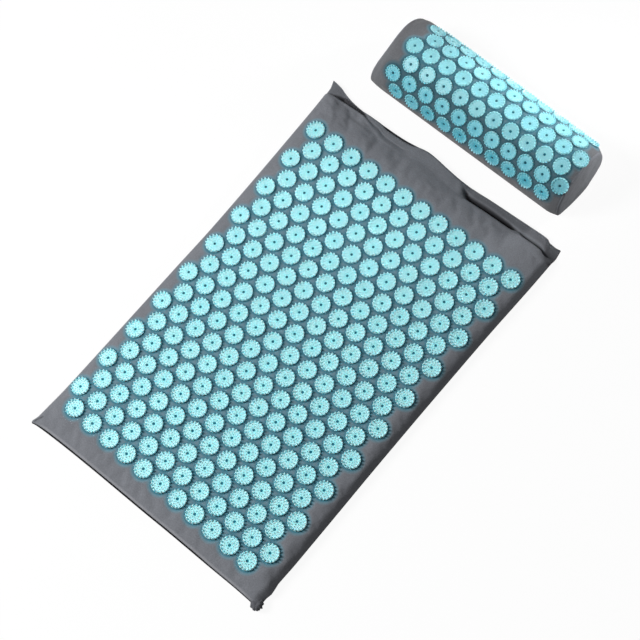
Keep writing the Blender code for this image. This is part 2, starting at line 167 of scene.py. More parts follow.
# The cover's fall at its mouth, all as distances from the head edge: (place across, value)
FALL_START = ((-206, 26.5), (-199, 23), (-188, 19), (-175, 13.5), (-166, 11), (-156, 9),
              (-143, 7.5), (-135, 8.5), (-126, 12), (-112, 17), (-60, 22), (-20, 36), (30, 36),
              (46, 27), (58, 22.3), (130, 22.8), (140, 22.3), (156, 24), (206, 26))
FALL_END = ((-206, 22.5), (-199, 19.5), (-188, 16), (-175, 11.4), (-166, 8.8), (-156, 6.9),
            (-143, 5.2), (-135, 5.2), (-126, 8), (-112, 10.5), (-90, 12), (-60, 13), (-35, 5),
            (0, 2), (36, 5), (50, 15), (58, 19), (94, 19.6), (132, 20.2), (140, 18), (156, 20),
            (206, 20.5))
LIP_HEIGHT = ((-206, 11), (-190, 10.5), (-150, 10), (-138, 10.5), (-126, 14), (-60, 14),
              (20, 13), (60, 14), (186, 14), (206, 13))
# The share of its height that the lip loses on its way out to its edge
LIP_FALL = ((-206, 0.95), (-165, 0.9), (-140, 0.6), (-120, 0.35), (30, 0.35), (56, 0.9), (206, 0.9))
# How far the mouth's seam sinks below the other seams
MOUTH_SAG = ((-206, 0), (-190, 1), (-178, 3), (-145, 3), (-132, 1), (-122, 0.6), (-40, 0.3),
             (40, 0.5), (56, 3), (128, 3), (142, 2), (180, 2), (190, 4), (206, 7.1))
# The groove in front of the pad, where the mouth gapes: its depth as a share, and its width
GAPE_SHARE = ((-206, 0.1), (-197, 0.5), (-186, 0.9), (-170, 1), (-146, 1), (-136, 0.8),
              (-129, 0.12), (-60, 0.12), (-45, 0), (42, 0), (48, 0.6), (53, 1), (130, 1),
              (137, 0.7), (142, 0.2), (150, 0.55), (194, 0.6), (200, 0.2), (206, 0))
GAPE_WIDTH = ((-206, 2.6), (-192, 4), (-180, 6.5), (-170, 8.4), (-158, 7), (-145, 5.4),
              (-136, 4), (-128, 1.8), (-60, 1.8), (40, 4), (54, 8), (90, 9), (125, 8),
              (136, 5), (142, 3.2), (206, 3.2))
FALL_POWER = 0.6
LIP_RUMPLES = 0.35
LIP_EDGE_ROUND = 2.6
GAPE_FLOOR = 3.6
GAPE_OVER_BASE = 1.4
MOUTH_GAP = 0.5

# The facet under the mouth's right end slants away from this place across
FACET_CORNER = 190.0
FACET_SLOPE = 0.8
FACET_DEPTH = 2.0
FACET_RUMPLES = 1.6

# Cloth simulation of the padded covers, on a grid of (columns, rows)
MAT_TRIAL_GRID = (83, 129)
PILLOW_TRIAL_GRID = (67, 45)
HELD_BY_DISC = 13.0
CLOTH_FRAMES = 14
CLOTH_QUALITY = 5
CLOTH_PRESSURE = 4.0
CLOTH_SLACK = 0.012
CLOTH_MOVE_CAP = 2.2

# Where cloth is bunched at the foot's right corner
GATHER_CENTRE = (200.3, -314.6)
GATHER_RADIUS = 8.6
GATHER_HEIGHT = 8.2
GATHER_HALF_HEIGHT = 6.6
GATHER_PLEATS = 9
GATHER_PLEAT_DEPTH = 0.10
GATHER_TWIST = 2.5
GATHER_LUMPS = ((1.6, 0.14), (4.5, 0.18))
GATHER_DENT = 0.28
GATHER_DENT_SIZE = 0.10
GATHER_FOLD_HEIGHT = 1.1
GATHER_FOLD_REACH = 12.0
GATHER_FOLDS = 9

# A crease at the foot's left corner, only painted as shade, from one place to another
CORNER_CREASE = np.array(((-201.3, -317.5), (-199.3, -308.0)))
CORNER_CREASE_WIDTH = 1.5

# Foam sheet and closure tapes inside the cover
FOAM_INSET = 8.0
FOAM_HEAD_INSET = 26.0
FOAM_BELOW_CLOTH = 4.0
FOAM_TOP = 18.0
FOAM_FLOOR = 1.2
FOAM_GRID = (30, 44)
TAPE_SHARE = 0.86
TAPE_FROM_HEAD = (12.5, 4.0)
TAPE_GRID = (70, 5)

# Stitches that close the hem of the mouth
STITCH_INSET = 3.6
STITCH_SPACING = 4.2
STITCH_LENGTH = 3.0
STITCH_WIDTH = 0.7
STITCH_SHARE = 0.93
STITCH_LIFT = 0.1

# Discs: real sizes, in millimetres
DISC_RADIUS = 13.2
DISC_THICKNESS = 1.5
DISC_SIDES = 20
HOLE_RADIUS = 1.9
SPIKE_HEIGHT = 5.5
SPIKE_WIDTH = 4.5
SPIKE_LEAN = 0.30
PILLOW_DISC_RADIUS = 12.2
PILLOW_SPIKE_HEIGHT = 2.8
SPIKE_SIDES = 4
# Rings of spikes: how many, how far out, and how wide and tall beside the outer ones
SPIKE_RINGS = ((16, 0.89, 1.0, 1.0), (12, 0.61, 0.42, 0.5), (7, 0.35, 0.42, 0.5))
RING_TURN = 0.3
DISC_SINK = 0.4
MAT_DISC_SEED = 4
PILLOW_DISC_SEED = 9
MAT_PITCH = 32.3
MAT_ROWS = 20
MAT_LONG_ROW = 12
ROW_STEP_SHARE = 0.85
FIELD_TURN = math.radians(-1.27)
FIELD_CENTRE = (0.4, -15.7)
FIELD_LEFT_DRAW = 5.2
FIELD_RIGHT_DRAW = 1.5
FIELD_HEAD_DRAW = 1.4
FIELD_CORNER_DRAW = (1.3, 1.8)
FIELD_CORNER = (-178.0, 290.0)
FIELD_CORNER_REACH = 50.0
FIELD_HALF_LENGTH = 250.0
FIELD_LEFT_FROM = 60.0
FIELD_LEFT_WIDTH = 120.0
FIELD_LEFT_MIDDLE = 0.15
PILLOW_PITCH = 28.8
PILLOW_ROWS = 7
PILLOW_LONG_ROW = 11

# Pillow, in millimetres, about the middle of its base
PILLOW_CENTRE = (5.5, 415.4)
PILLOW_TURN = math.radians(-1.2)
PILLOW_TAPER = 0.025
PILLOW_RADIUS = 58.0
PILLOW_AXIS = 22.5
PILLOW_FLOOR = 1.3
PILLOW_HALF = 166.0
PILLOW_LEFT_BULGE = 1.5
PILLOW_RIGHT_BULGE = 3.5
PILLOW_LEFT_TUCK = 8.2
PILLOW_LEFT_TUCK_ARC = -27.0
PILLOW_LEFT_FLARE = 3.0
PILLOW_LEFT_FLARE_ARC = -108.0
PILLOW_RIGHT_TUCK = 3.0
PILLOW_TUCK_REACH = 30.0
PILLOW_BASE_BULGE = 4.5
PILLOW_END_ROUND = 18.0
PILLOW_LEFT_SHRINK = 0.03
PILLOW_RIGHT_SHRINK = 0.08
PILLOW_LEFT_SLANT = 0.07
PILLOW_FIELD_SHIFT = 5.3
PILLOW_FIELD_ALONG = 13.2
PILLOW_FIELD_TURN = math.radians(2.25)
PILLOW_FIELD_BOW = -0.00115
PILLOW_ROW_SPREAD = 1.008
PILLOW_WIDEST_ROW = -36.7
PILLOW_ROW_NARROWING = 7.3e-6
PILLOW_ARCH_LINES = 80
PILLOW_BASE_GRID = (60, 24)
BOLSTER_GRID = (30, 30)
BOLSTER_SLACK = 0.06
BOLSTER_LIFT = 0.6
BOLSTER_INSET = 3.0

# An end's rings, as shares of its outline: at its seam, each with how far out, and on its dome
END_SEAM = ((0.984, -2.0), (0.992, -0.6), (0.996, 0.3), (0.990, 1.2), (0.974, 2.1))
END_DOME = np.linspace(0.94, 0.08, 12)
END_DOME_FOOT = 2.3
END_DOME_POWER = 2.6
END_RUMPLES = 0.4
END_ARCH_PLACES = 60

# Stage; the floor's tones are the object's view of it and the camera's
FLOOR_HALF = 6.0
FLOOR_TONES = (0.32, 0.95)
FLOOR_WHITE_SHARE = 0.93
WORLD_LIGHT = 0.18


def display(colour):
    """A display colour as the linear values that a shader takes."""
    return (*[((c + 0.055) / 1.055) ** 2.4 if c > 0.04 else c / 12.92 for c in colour], 1)


def through(points, at):
    """A smooth line through a few (place, value) points, read at one place or many."""
    place, value = np.array(points, float).T
    rise = np.diff(value) / np.diff(place)
    before, after = rise[:-1], rise[1:]
    # No slope at a peak or a dip, so that the line never swings past its points
    turn = np.where(before * after > 0, 2 * before * after / (before + after + 1e-12), 0)
    slope = np.array([rise[0], *turn, rise[-1]])
    k = np.clip(np.searchsorted(place, at) - 1, 0, len(place) - 2)
    width = place[k + 1] - place[k]
    t = np.clip((at - place[k]) / width, 0, 1)
    start = value[k] * (1 + 2 * t) * (1 - t) ** 2 + slope[k] * width * t * (1 - t) ** 2
    end = value[k + 1] * t ** 2 * (3 - 2 * t) - slope[k + 1] * width * t ** 2 * (1 - t)
    return start + end


def ease(t):
    """From 0 to 1, slow at both ends."""
    t = np.clip(t, 0, 1)
    return t * t * (3 - 2 * t)


def past(place, start, soft):
    """0 up to a start, and from there 1 after a soft width."""
    return ease((place - start) / soft)


def within(distance, reach, soft):
    """0 beyond a reach, and inside it 1 after a soft width."""
    return ease((reach - distance) / soft)


def bell(distance, width):
    """1 at no distance, and fading away over about that width."""
    return np.exp(-(distance / width) ** 2)


def quarter_round(distance, width, power=2.0):
    """The rise of a rounded edge, from 0 at the edge to 1; a lower power makes it a bevel."""
    share = np.clip(distance / width, 0, 1)
    return (1 - (1 - share) ** power) ** (1 / power)


def rumple(x, y, size, seed):
    """Soft noise from -1 to 1 over arrays of places, with bumps of about that size."""
    flat = [noise.noise(Vector((a / size, b / size, seed)))
            for a, b in zip(np.ravel(x), np.ravel(y))]
    return np.reshape(flat, np.shape(x))


# Node trees

def node(tree, kind, inputs=None, **settings):
    """Adds a node; an input that is a socket is linked, and any other is set."""
    made = tree.nodes.new(kind)
    for name, value in settings.items():
        setattr(made, name, value)
    for name, value in (inputs or {}).items():
        socket = made.inputs[name]
        if isinstance(value, bpy.types.NodeSocket):
            tree.links.new(value, socket)
        else:
            socket.default_value = value
    return made


def math_node(tree, operation, *values):
    made = node(tree, "ShaderNodeMath", dict(enumerate(values)), operation=operation)
    return made.outputs[0]


def vector_node(tree, operation, *values, output="Vector", **inputs):
    inputs = {**dict(enumerate(values)), **inputs}
    return node(tree, "ShaderNodeVectorMath", inputs, operation=operation).outputs[output]


def map_range(tree, value, start, end, low, high, **settings):
    """Takes a value from start..end to low..high."""
    made = node(tree, "ShaderNodeMapRange",
                {"Value": value, "From Min": start, "From Max": end, "To Min": low,
                 "To Max": high}, **settings)
    return made.outputs["Result"]


def blank_material(name, **sockets):
    """A node material and its Principled BSDF."""
    made = bpy.data.materials.new(name)
    made.use_nodes = True
    shader = made.node_tree.nodes["Principled BSDF"]
    for socket, value in sockets.items():
        shader.inputs[socket.replace("_", " ")].default_value = value
    return made, made.node_tree, shader


def mixed(tree, share, first, second):
    """Colour between two by a share."""
    made = node(tree, "ShaderNodeMix", {"Factor": share, 6: first, 7: second}, data_type="RGBA")
    return made.outputs[2]


def object_places(tree):
    return node(tree, "ShaderNodeTexCoord").outputs["Object"]


def attribute(tree, name):
    return node(tree, "ShaderNodeAttribute", attribute_name=name).outputs["Fac"]


def noise_value(tree, places, scale, detail=2.0):
    made = node(tree, "ShaderNodeTexNoise", {"Vector": places, "Scale": scale, "Detail": detail})
    return made.outputs["Fac"]


def spread(tree, value, low, high):
    """A noise value taken from its middle range to low..high."""
    return map_range(tree, value, 0.3, 0.7, low, high)


def coloured(tree, shader, colour):
    tree.links.new(colour, shader.inputs["Base Color"])


def bumped(tree, shader, *layers):
    """Roughens a surface by layers of (height, strength, depth in metres)."""
    under = {}
    for height, strength, depth in layers:
        made = node(tree, "ShaderNodeBump",
                    {"Height": height, "Strength": strength, "Distance": depth, **under})
        under = {"Normal": made.outputs["Normal"]}
    tree.links.new(under["Normal"], shader.inputs["Normal"])


def weave_height(tree, places):
    """Twill lines over the threads across, from -1 to 1."""
    separate = node(tree, "ShaderNodeSeparateXYZ", {"Vector": places})
    x, y = separate.outputs["X"], separate.outputs["Y"]
    twill, threads = (
        math_node(tree, "SINE", math_node(tree, "MULTIPLY", along, 2 * math.pi / pitch))
        for along, pitch in ((math_node(tree, "ADD", x, y), TWILL_PITCH), (x, THREAD_PITCH)))
    threads = math_node(tree, "MULTIPLY", threads, 1 - TWILL_SHARE)
    return math_node(tree, "MULTIPLY_ADD", twill, TWILL_SHARE, threads)


def colour_by_marks(tree, shown):
    """Cloth's colour: painted shadow round its discs, a bluer tint among them, its colour under
    their holes, painted shade in its folds and a painted highlight along the foot's hem.
    """
    distance = attribute(tree, "from_disc")
    among = map_range(tree, distance, *AMONG_DISCS, AMONG_DISCS_SHARE, 0.0)
    shown = mixed(tree, among, shown, display(CLOTH_AMONG_DISCS_COLOUR))
    hole = math_node(tree, "LESS_THAN", distance, UNDER_HOLE)
    near = mixed(tree, hole, display(CLOTH_DISC_SHADOW_COLOUR), display(HOLE_COLOUR))
    # Painted shadow in a ring round each disc
    ring = map_range(tree, distance, *DISC_SHADOW_RING, DISC_SHADOW_SHARE, 0.0,
                     interpolation_type="SMOOTHSTEP")
    shown = mixed(tree, ring, shown, near)
    shown = mixed(tree, attribute(tree, "painted_shade"), shown, display(PAINTED_SHADE_COLOUR))
    hem_highlight = math_node(tree, "MULTIPLY", attribute(tree, "hem_highlight"), HEM_HIGHLIGHT_SHARE)
    return mixed(tree, hem_highlight, shown, display(HEM_HIGHLIGHT_COLOUR))


def cloth_material(name, colour, marked=False):
    """Matt cotton twill; a marked one is coloured by the marks on its piece too."""
    made, tree, shader = blank_material(name, Roughness=0.92, Sheen_Weight=0.10,
                                        Sheen_Roughness=0.6, Specular_IOR_Level=0.25)
    places = object_places(tree)
    broad = spread(tree, noise_value(tree, places, scale=14.0), 0.95, 1.05)
    heather = spread(tree, noise_value(tree, places, scale=700.0, detail=3.0), 0.86, 1.14)
    weave = weave_height(tree, places)
    tone = math_node(tree, "MULTIPLY", broad, heather)
    tone = math_node(tree, "MULTIPLY", tone, math_node(tree, "MULTIPLY_ADD", weave, 0.045, 1.0))
    shown = vector_node(tree, "SCALE", display(colour)[:3], Scale=tone)
    coloured(tree, shader, colour_by_marks(tree, shown) if marked else shown)
    bumped(tree, shader, (math_node(tree, "MULTIPLY_ADD", weave, 0.5, heather), 0.35, 0.0003),
           (noise_value(tree, places, scale=60.0, detail=4.0), 0.25, 0.004))
    return made


def plastic_material(name, plain, deep, tips_and_highlights, near_shade_from=None):
    """Pale blue moulded plastic, milky, paler towards the spikes' tips and at the plate's rim:
    partly the plastic thinning, partly a painted highlight.

    Discs that sit on the pillow's near side, between two places in y, can be deeper in colour:
    painted shade on that side.
    """
    made, tree, shader = blank_material(name, Roughness=0.38, Subsurface_Weight=0.6,
                                        Subsurface_Radius=(0.6, 0.9, 1.0), Subsurface_Scale=0.003)
    places = object_places(tree)
    mottle = spread(tree, noise_value(tree, places, scale=260.0), 0.0, 0.15)
    share = math_node(tree, "MULTIPLY_ADD", attribute(tree, "tone"), 0.20, mottle)
    # Deeper on the pillow's near side: painted shade
    if near_shade_from:
        start, end = near_shade_from
        across = node(tree, "ShaderNodeSeparateXYZ", {"Vector": places}).outputs["Y"]
        near = map_range(tree, across, start * MM, end * MM, 0.75, 0.0)
        share = math_node(tree, "ADD", share, near)
    colour = mixed(tree, share, display(plain), display(deep))
    # Paler at the spikes' tips and the plate's rim: partly thinner plastic, partly a painted
    # highlight
    tip_and_highlight = math_node(tree, "MULTIPLY", attribute(tree, "tip_and_highlight"), 0.85)
    coloured(tree, shader, mixed(tree, tip_and_highlight, colour, display(tips_and_highlights)))
    bumped(tree, shader, (noise_value(tree, places, scale=1800.0), 0.12, 0.0002))
    return made


def foam_material():
    made, tree, shader = blank_material("foam", Roughness=0.95)
    places = object_places(tree)
    share = spread(tree, noise_value(tree, places, scale=30.0), 0.0, 0.3)
    coloured(tree, shader, mixed(tree, share, *map(display, FOAM_COLOURS)))
    cells = node(tree, "ShaderNodeTexVoronoi", {"Vector": places, "Scale": 600.0})
    bumped(tree, shader, (cells.outputs["Distance"], 0.5, 0.0005))
    return made


def fibre_material(name, roughness, colours, scale, detail, strength, depth):
    """Fine fibres in two shades: the nap of the closure's tapes, or the twist of a thread."""
    made, tree, shader = blank_material(name, Roughness=roughness)
    fibres = noise_value(tree, object_places(tree), scale, detail)
    coloured(tree, shader, mixed(tree, fibres, *map(display, colours)))
    bumped(tree, shader, (fibres, strength, depth))
    return made


# Meshes

def new_object(data, place=(0, 0, 0), turn=(0, 0, 0)):
    """An object with its data's name, in the scene."""
    made = bpy.data.objects.new(data.name, data)
    made.location, made.rotation_euler = place, turn
    bpy.context.scene.collection.objects.link(made)
    return made


def new_piece(data, *materials):
    for each in materials:
        data.materials.append(each)
    return new_object(data)


def numbered(places):
    """The vertex numbers of a grid of places."""
    return np.arange(places[..., 0].size).reshape(places.shape[:2])


def quads(index):
    """Faces between the rows and columns of a grid of vertex numbers."""
    corners = (index[:-1, :-1], index[:-1, 1:], index[1:, 1:], index[1:, :-1])
    return np.stack(corners, -1).reshape(-1, 4)


def smooth_mesh(name, places, faces):
    """A smooth mesh from places in millimetres."""
    data = bpy.data.meshes.new(name)
    data.from_pydata((places.reshape(-1, 3) * MM).tolist(), [], [face.tolist() for face in faces])
    data.shade_smooth()
    return data


def grid_mesh(name, places, flip=False):
    """A mesh over a grid of places, one face between each four."""
    faces = quads(numbered(places))
    return smooth_mesh(name, places, faces[:, ::-1] if flip else faces)


def closed_pad(name, top, bottom, *materials):
    """A closed solid between two grids of places of one layout."""
    low = numbered(bottom)
    border = np.concatenate((low[0, :-1], low[:-1, -1], low[-1, :0:-1], low[:0:-1, 0]))
    after = np.roll(border, -1)
    walls = np.stack((border, after, after + low.size, border + low.size), -1)
    faces = np.concatenate((quads(low)[:, ::-1], quads(low + low.size), walls))
    return new_piece(smooth_mesh(name, np.stack((bottom, top)), faces), *materials)


def made_plain(piece):
    """Applies the piece's modifiers: the evaluated mesh becomes its own."""
    bpy.context.view_layer.update()
    graph = bpy.context.evaluated_depsgraph_get()
    data = bpy.data.meshes.new_from_object(piece.evaluated_get(graph))
    data.name = piece.name
    piece.modifiers.clear()
    piece.data = data
    return piece


def cloth_piece(data, cloth):
    """Open cloth with its thickness on the inner side, as part of its mesh."""
    piece = new_piece(data, cloth)
    solid = piece.modifiers.new("cloth thickness", "SOLIDIFY")
    solid.thickness = CLOTH_THICKNESS * MM
    solid.offset = -1
    return made_plain(piece)


def even_grid(across, along, counts):
    """Even places between two limits across and two along, with (columns, rows) of them."""
    return np.meshgrid(np.linspace(*across, counts[0]), np.linspace(*along, counts[1]))


def mark(data, name, values):
    """Keeps one number for each vertex, for a material to read."""
    layer = data.attributes.new(name, "FLOAT", "POINT")
    layer.data.foreach_set("value", np.ravel(values).astype(np.float32))


def stations(half, step, low_steps, high_steps=None):
    """Places from -half to half, a step apart, and closer at given distances from its ends."""
    low = [-half + d for d in low_steps]
    high = [half - d for d in (high_steps or low_steps)][::-1]
    count = round((high[0] - low[-1]) / step)
    middle = np.linspace(low[-1], high[0], count + 1)[1:-1]
    return np.array([*low, *middle, *high])


# Cloth simulation

def swollen(name, places, held):
    """Simulates a grid of cloth under the padding's pressure, fixed where it is held down.

    Gives how far each place moves, in millimetres.
    """
    scene = bpy.context.scene
    piece = new_piece(grid_mesh(name, places))
    group = piece.vertex_groups.new(name="held")
    group.add(np.flatnonzero(held).tolist(), 1.0, "REPLACE")
    modifier = piece.modifiers.new("cloth", "CLOTH")
    modifier.point_cache.frame_start, modifier.point_cache.frame_end = 1, CLOTH_FRAMES
    settings = modifier.settings
    settings.vertex_group_mass = "held"
    settings.quality = CLOTH_QUALITY
    settings.use_pressure = True
    settings.uniform_pressure_force = CLOTH_PRESSURE
    settings.shrink_min = -CLOTH_SLACK
    settings.effector_weights.gravity = 0
    for number in range(1, CLOTH_FRAMES + 1):
        scene.frame_set(number)
    data = piece.evaluated_get(bpy.context.evaluated_depsgraph_get()).data
    ends = np.empty(len(data.vertices) * 3)
    data.vertices.foreach_get("co", ends)
    moves = ends.reshape(places.shape) / MM - places
    scene.frame_set(1)
    bpy.data.objects.remove(piece)
    length = np.linalg.norm(moves, axis=-1, keepdims=True)
    return moves * np.minimum(1, CLOTH_MOVE_CAP / np.maximum(length, 1e-6))


def read_between(grid, columns, rows, x, y):
    """Values on even columns and rows, read at places between them."""
    across = np.clip((x - columns[0]) / (columns[1] - columns[0]), 0, len(columns) - 1.001)
    up = np.clip((y - rows[0]) / (rows[1] - rows[0]), 0, len(rows) - 1.001)
    i, j = up.astype(int), across.astype(int)
    s, t = (up - i)[..., None], (across - j)[..., None]
    low = grid[i, j] * (1 - t) + grid[i, j + 1] * t
    high = grid[i + 1, j] * (1 - t) + grid[i + 1, j + 1] * t
    return low * (1 - s) + high * s


def swell(name, surface, held, halves, counts, x, y):
    """How the padding swells a surface, simulated on an even grid and read at x and y."""
    grid = even_grid(*((-half, half) for half in halves), counts)
    moves = swollen(name, surface(*grid), held(*grid))
    return read_between(moves, grid[0][0], grid[1][:, 0], x, y)


# Fields of discs

def disc_centres(rows, long_row, pitch, long_first):
    """Centres of staggered rows of discs, about the middle of their field."""
    centres = []
    for row in range(rows):
        count = long_row if (row % 2 == 0) == long_first else long_row - 1
        for column in range(count):
            centres.append(((column - (count - 1) / 2) * pitch,
                            ((rows - 1) / 2 - row) * pitch * ROW_STEP_SHARE))
    return np.array(centres).T


def mat_field():
    """Centres of the mat's discs, turned in the cover and drawn a little off the lattice."""
    across, up = disc_centres(MAT_ROWS, MAT_LONG_ROW, MAT_PITCH, long_first=True)
    cos, sin = math.cos(FIELD_TURN), math.sin(FIELD_TURN)
    x = across * cos - up * sin + FIELD_CENTRE[0]
    y = across * sin + up * cos + FIELD_CENTRE[1]
    along = np.clip((y - FIELD_CENTRE[1]) / FIELD_HALF_LENGTH, -1, 1)
    left = np.clip((-x - FIELD_LEFT_FROM) / FIELD_LEFT_WIDTH, 0, 1) ** 2
    left = left * (FIELD_LEFT_MIDDLE + (1 - FIELD_LEFT_MIDDLE) * along ** 2)
    right = past(x, start=20, soft=80) * (1 - along ** 2)
    head = past(x, start=20, soft=130) * past(y, start=-60, soft=160)
    corner = np.exp(-np.hypot(x - FIELD_CORNER[0], y - FIELD_CORNER[1]) / FIELD_CORNER_REACH)
    return (x - FIELD_LEFT_DRAW * left - FIELD_RIGHT_DRAW * right - FIELD_CORNER_DRAW[0] * corner,
            y + FIELD_HEAD_DRAW * head + FIELD_CORNER_DRAW[1] * corner)


def pillow_field():
    """Centres of the pillow's discs; its rows close up a little away from the widest one."""
    along, across = disc_centres(PILLOW_ROWS, PILLOW_LONG_ROW, PILLOW_PITCH, long_first=False)
    spread_here = PILLOW_ROW_SPREAD - PILLOW_ROW_NARROWING * (across - PILLOW_WIDEST_ROW) ** 2
    bow = PILLOW_FIELD_BOW * across ** 2
    return (along * spread_here - PILLOW_FIELD_TURN * across + PILLOW_FIELD_ALONG + bow,
            across + PILLOW_FIELD_TURN * along + PILLOW_FIELD_SHIFT)


MAT_FIELD = mat_field()
PILLOW_FIELD = pillow_field()


def from_nearest(x, y, centres):
    """Distance from each place to the nearest of the centres."""
    best = np.full(np.shape(x), 1e9)
    for centre_x, centre_y in zip(*centres):
        best = np.minimum(best, (x - centre_x) ** 2 + (y - centre_y) ** 2)
    return np.sqrt(best)


# Mat: each place is first a nominal one on a plain rectangle

def rounded_corners(x, y):
    """Draws the nominal rectangle's corners in to a small radius."""
    radius = np.where(y < 0, FOOT_CORNER_ROUND, HEAD_CORNER_ROUND)
    across = np.clip((np.abs(x) - HALF_WIDTH + radius) / radius, 0, 1)
    along = np.clip((np.abs(y) - HALF_LENGTH + radius) / radius, 0, 1)
    inner_x = np.minimum(np.abs(x), HALF_WIDTH - radius)
    inner_y = np.minimum(np.abs(y), HALF_LENGTH - radius)
    new_x = inner_x + radius * across * np.sqrt(1 - along ** 2 / 2)
    new_y = inner_y + radius * along * np.sqrt(1 - across ** 2 / 2)
    return np.sign(x) * new_x, np.sign(y) * new_y


def mat_edges(x, y, top=True):
    """Takes nominal places to the cover's real outline, of the top or of the base."""
    x, y = rounded_corners(x, y)
    left, right = through(LEFT_EDGE, y), through(RIGHT_EDGE, y)
    foot, head = through(FOOT_EDGE, x), through(HEAD_EDGE, x)
    if top:
        foot = foot + through(BASE_BEYOND_FOOT, x)
        head = head - through(BASE_BEYOND_HEAD, x)
    share_x = (x + HALF_WIDTH) / (2 * HALF_WIDTH)
    share_y = (y + HALF_LENGTH) / (2 * HALF_LENGTH)
    return left + (right - left) * share_x, foot + (head - foot) * share_y


def from_mat_disc(x, y):
    return from_nearest(*mat_edges(x, y), MAT_FIELD)


def pinched(real_x, x, from_side, rise):
    """Draws a side's edge in a little where the cloth goes into its seam."""
    pinch = SEAM_PINCH * (1 - np.clip(rise / PINCH_RISE, 0, 1))
    return real_x + np.where(x < 0, 1, -1) * pinch * (from_side < PINCH_REACH), pinch


def mouth_sag(x, from_head):
    """How far the cover's mouth sinks there."""
    return through(MOUTH_SAG, x) * within(from_head, reach=26, soft=12)


def crown_height(x, y):
    """Height of the padded top over the nominal rectangle."""
    # The foam fills the right side higher than the left
    from_side = HALF_WIDTH - LEFT_RIM - np.abs(x) + RIGHT_RIM_FILL * past(x, start=0, soft=100)
    from_foot = y + HALF_LENGTH - FOOT_RIM
    from_head = HALF_LENGTH - BASE_LIP - FOOT_RIM - y
    shoulder = SHOULDER_RISE * np.ones_like(x)
    for distance in (from_side, from_foot, from_head):
        shoulder = shoulder * (1 - (1 - np.clip(distance / SHOULDER_WIDTH, 0, 1)) ** 2)
    crown = CROWN_RISE * (1 - (x / HALF_WIDTH) ** 2) * (1 - (y / HALF_LENGTH) ** 2)
    return RIM_TOP + shoulder + crown


def mouth_groove(x, from_head):
    """How deep in the gaping mouth a place is, from 0 to 1."""
    share, width = through(GAPE_SHARE, x), through(GAPE_WIDTH, x)
    off_middle = from_head - through(FALL_END, x) + width / 2
    return share * np.exp(-(off_middle / (width / 2)) ** 4)


def right_facet(x, from_head):
    """Where the right side's end is folded in under the mouth, from 0 to 1."""
    slanting = from_head - FACET_SLOPE * (x - FACET_CORNER)
    return past(x, start=187, soft=3) * within(slanting, reach=24, soft=6)


def corner_crease(x, y):
    """Where a pressed crease at the foot's left corner is painted as shade, from 0 to 1."""
    start, end = CORNER_CREASE
    run = end - start
    share = np.clip(((x - start[0]) * run[0] + (y - start[1]) * run[1]) / (run @ run), 0, 1)
    off = np.hypot(x - start[0] - share * run[0], y - start[1] - share * run[1])
    return bell(off, CORNER_CREASE_WIDTH)


def gather_folds(x, y):
    """Small folds that run into the bunched corner."""
    across, along = x - GATHER_CENTRE[0], y - GATHER_CENTRE[1]
    reach, angle = np.hypot(across, along), np.arctan2(along, across)
    folds = rumple(angle * GATHER_FOLDS, reach * 0.12, size=1, seed=21)
    return GATHER_FOLD_HEIGHT * bell(reach - GATHER_FOLD_REACH, width=24) * folds


def loose_cloth(x, y, from_foot, from_head):
    """Soft rumples of the cloth, only where no disc holds it down."""
    held = past(from_head, start=34, soft=12) * past(from_foot, start=20, soft=14)
    broad = BROAD_RUMPLES * rumple(x, y, size=42, seed=3)
    fine = FINE_RUMPLES * rumple(x + 0.6 * y, 0.4 * y, size=11, seed=7)
    return (1 - held) * (broad + fine)


def fallen_to_lip(rise, x, y, from_head):
    """The rise of the cloth with its fall to the lip at the mouth."""
    start, end = through(FALL_START, x), through(FALL_END, x)
    outwards = 1 - np.clip(from_head / end, 0, 1)
    lip = (through(LIP_HEIGHT, x) - SEAM_HEIGHT) * (1 - through(LIP_FALL, x) * outwards)
    lip = lip + LIP_RUMPLES * rumple(x, y, size=9, seed=5)
    fall = ease((from_head - end) / (start - end)) ** FALL_POWER
    return (lip + (rise - lip) * fall) * quarter_round(from_head + 0.1, LIP_EDGE_ROUND)


def rounded_sides(rise, from_left, from_right, from_foot, from_head):
    """The rise with rounded sides, wider towards the corners where the foam doesn't reach."""
    nearest_end, nearest_side = np.minimum(from_foot, from_head), np.minimum(from_left, from_right)
    left_rim = LEFT_RIM + CORNER_RIM * bell(nearest_end, width=14)
    foot_rim = FOOT_RIM + CORNER_RIM * bell(nearest_side, width=14)
    right_rim = RIGHT_RIM + RIGHT_RIM_MORE_AT_FOOT * bell(from_foot, width=20)
    right_rim += RIGHT_RIM_MORE_AT_HEAD * within(from_head, reach=30, soft=8)
    rise = rise * quarter_round(from_left, left_rim) * quarter_round(from_foot, foot_rim)
    return rise * quarter_round(from_right, right_rim, RIGHT_RIM_POWER)


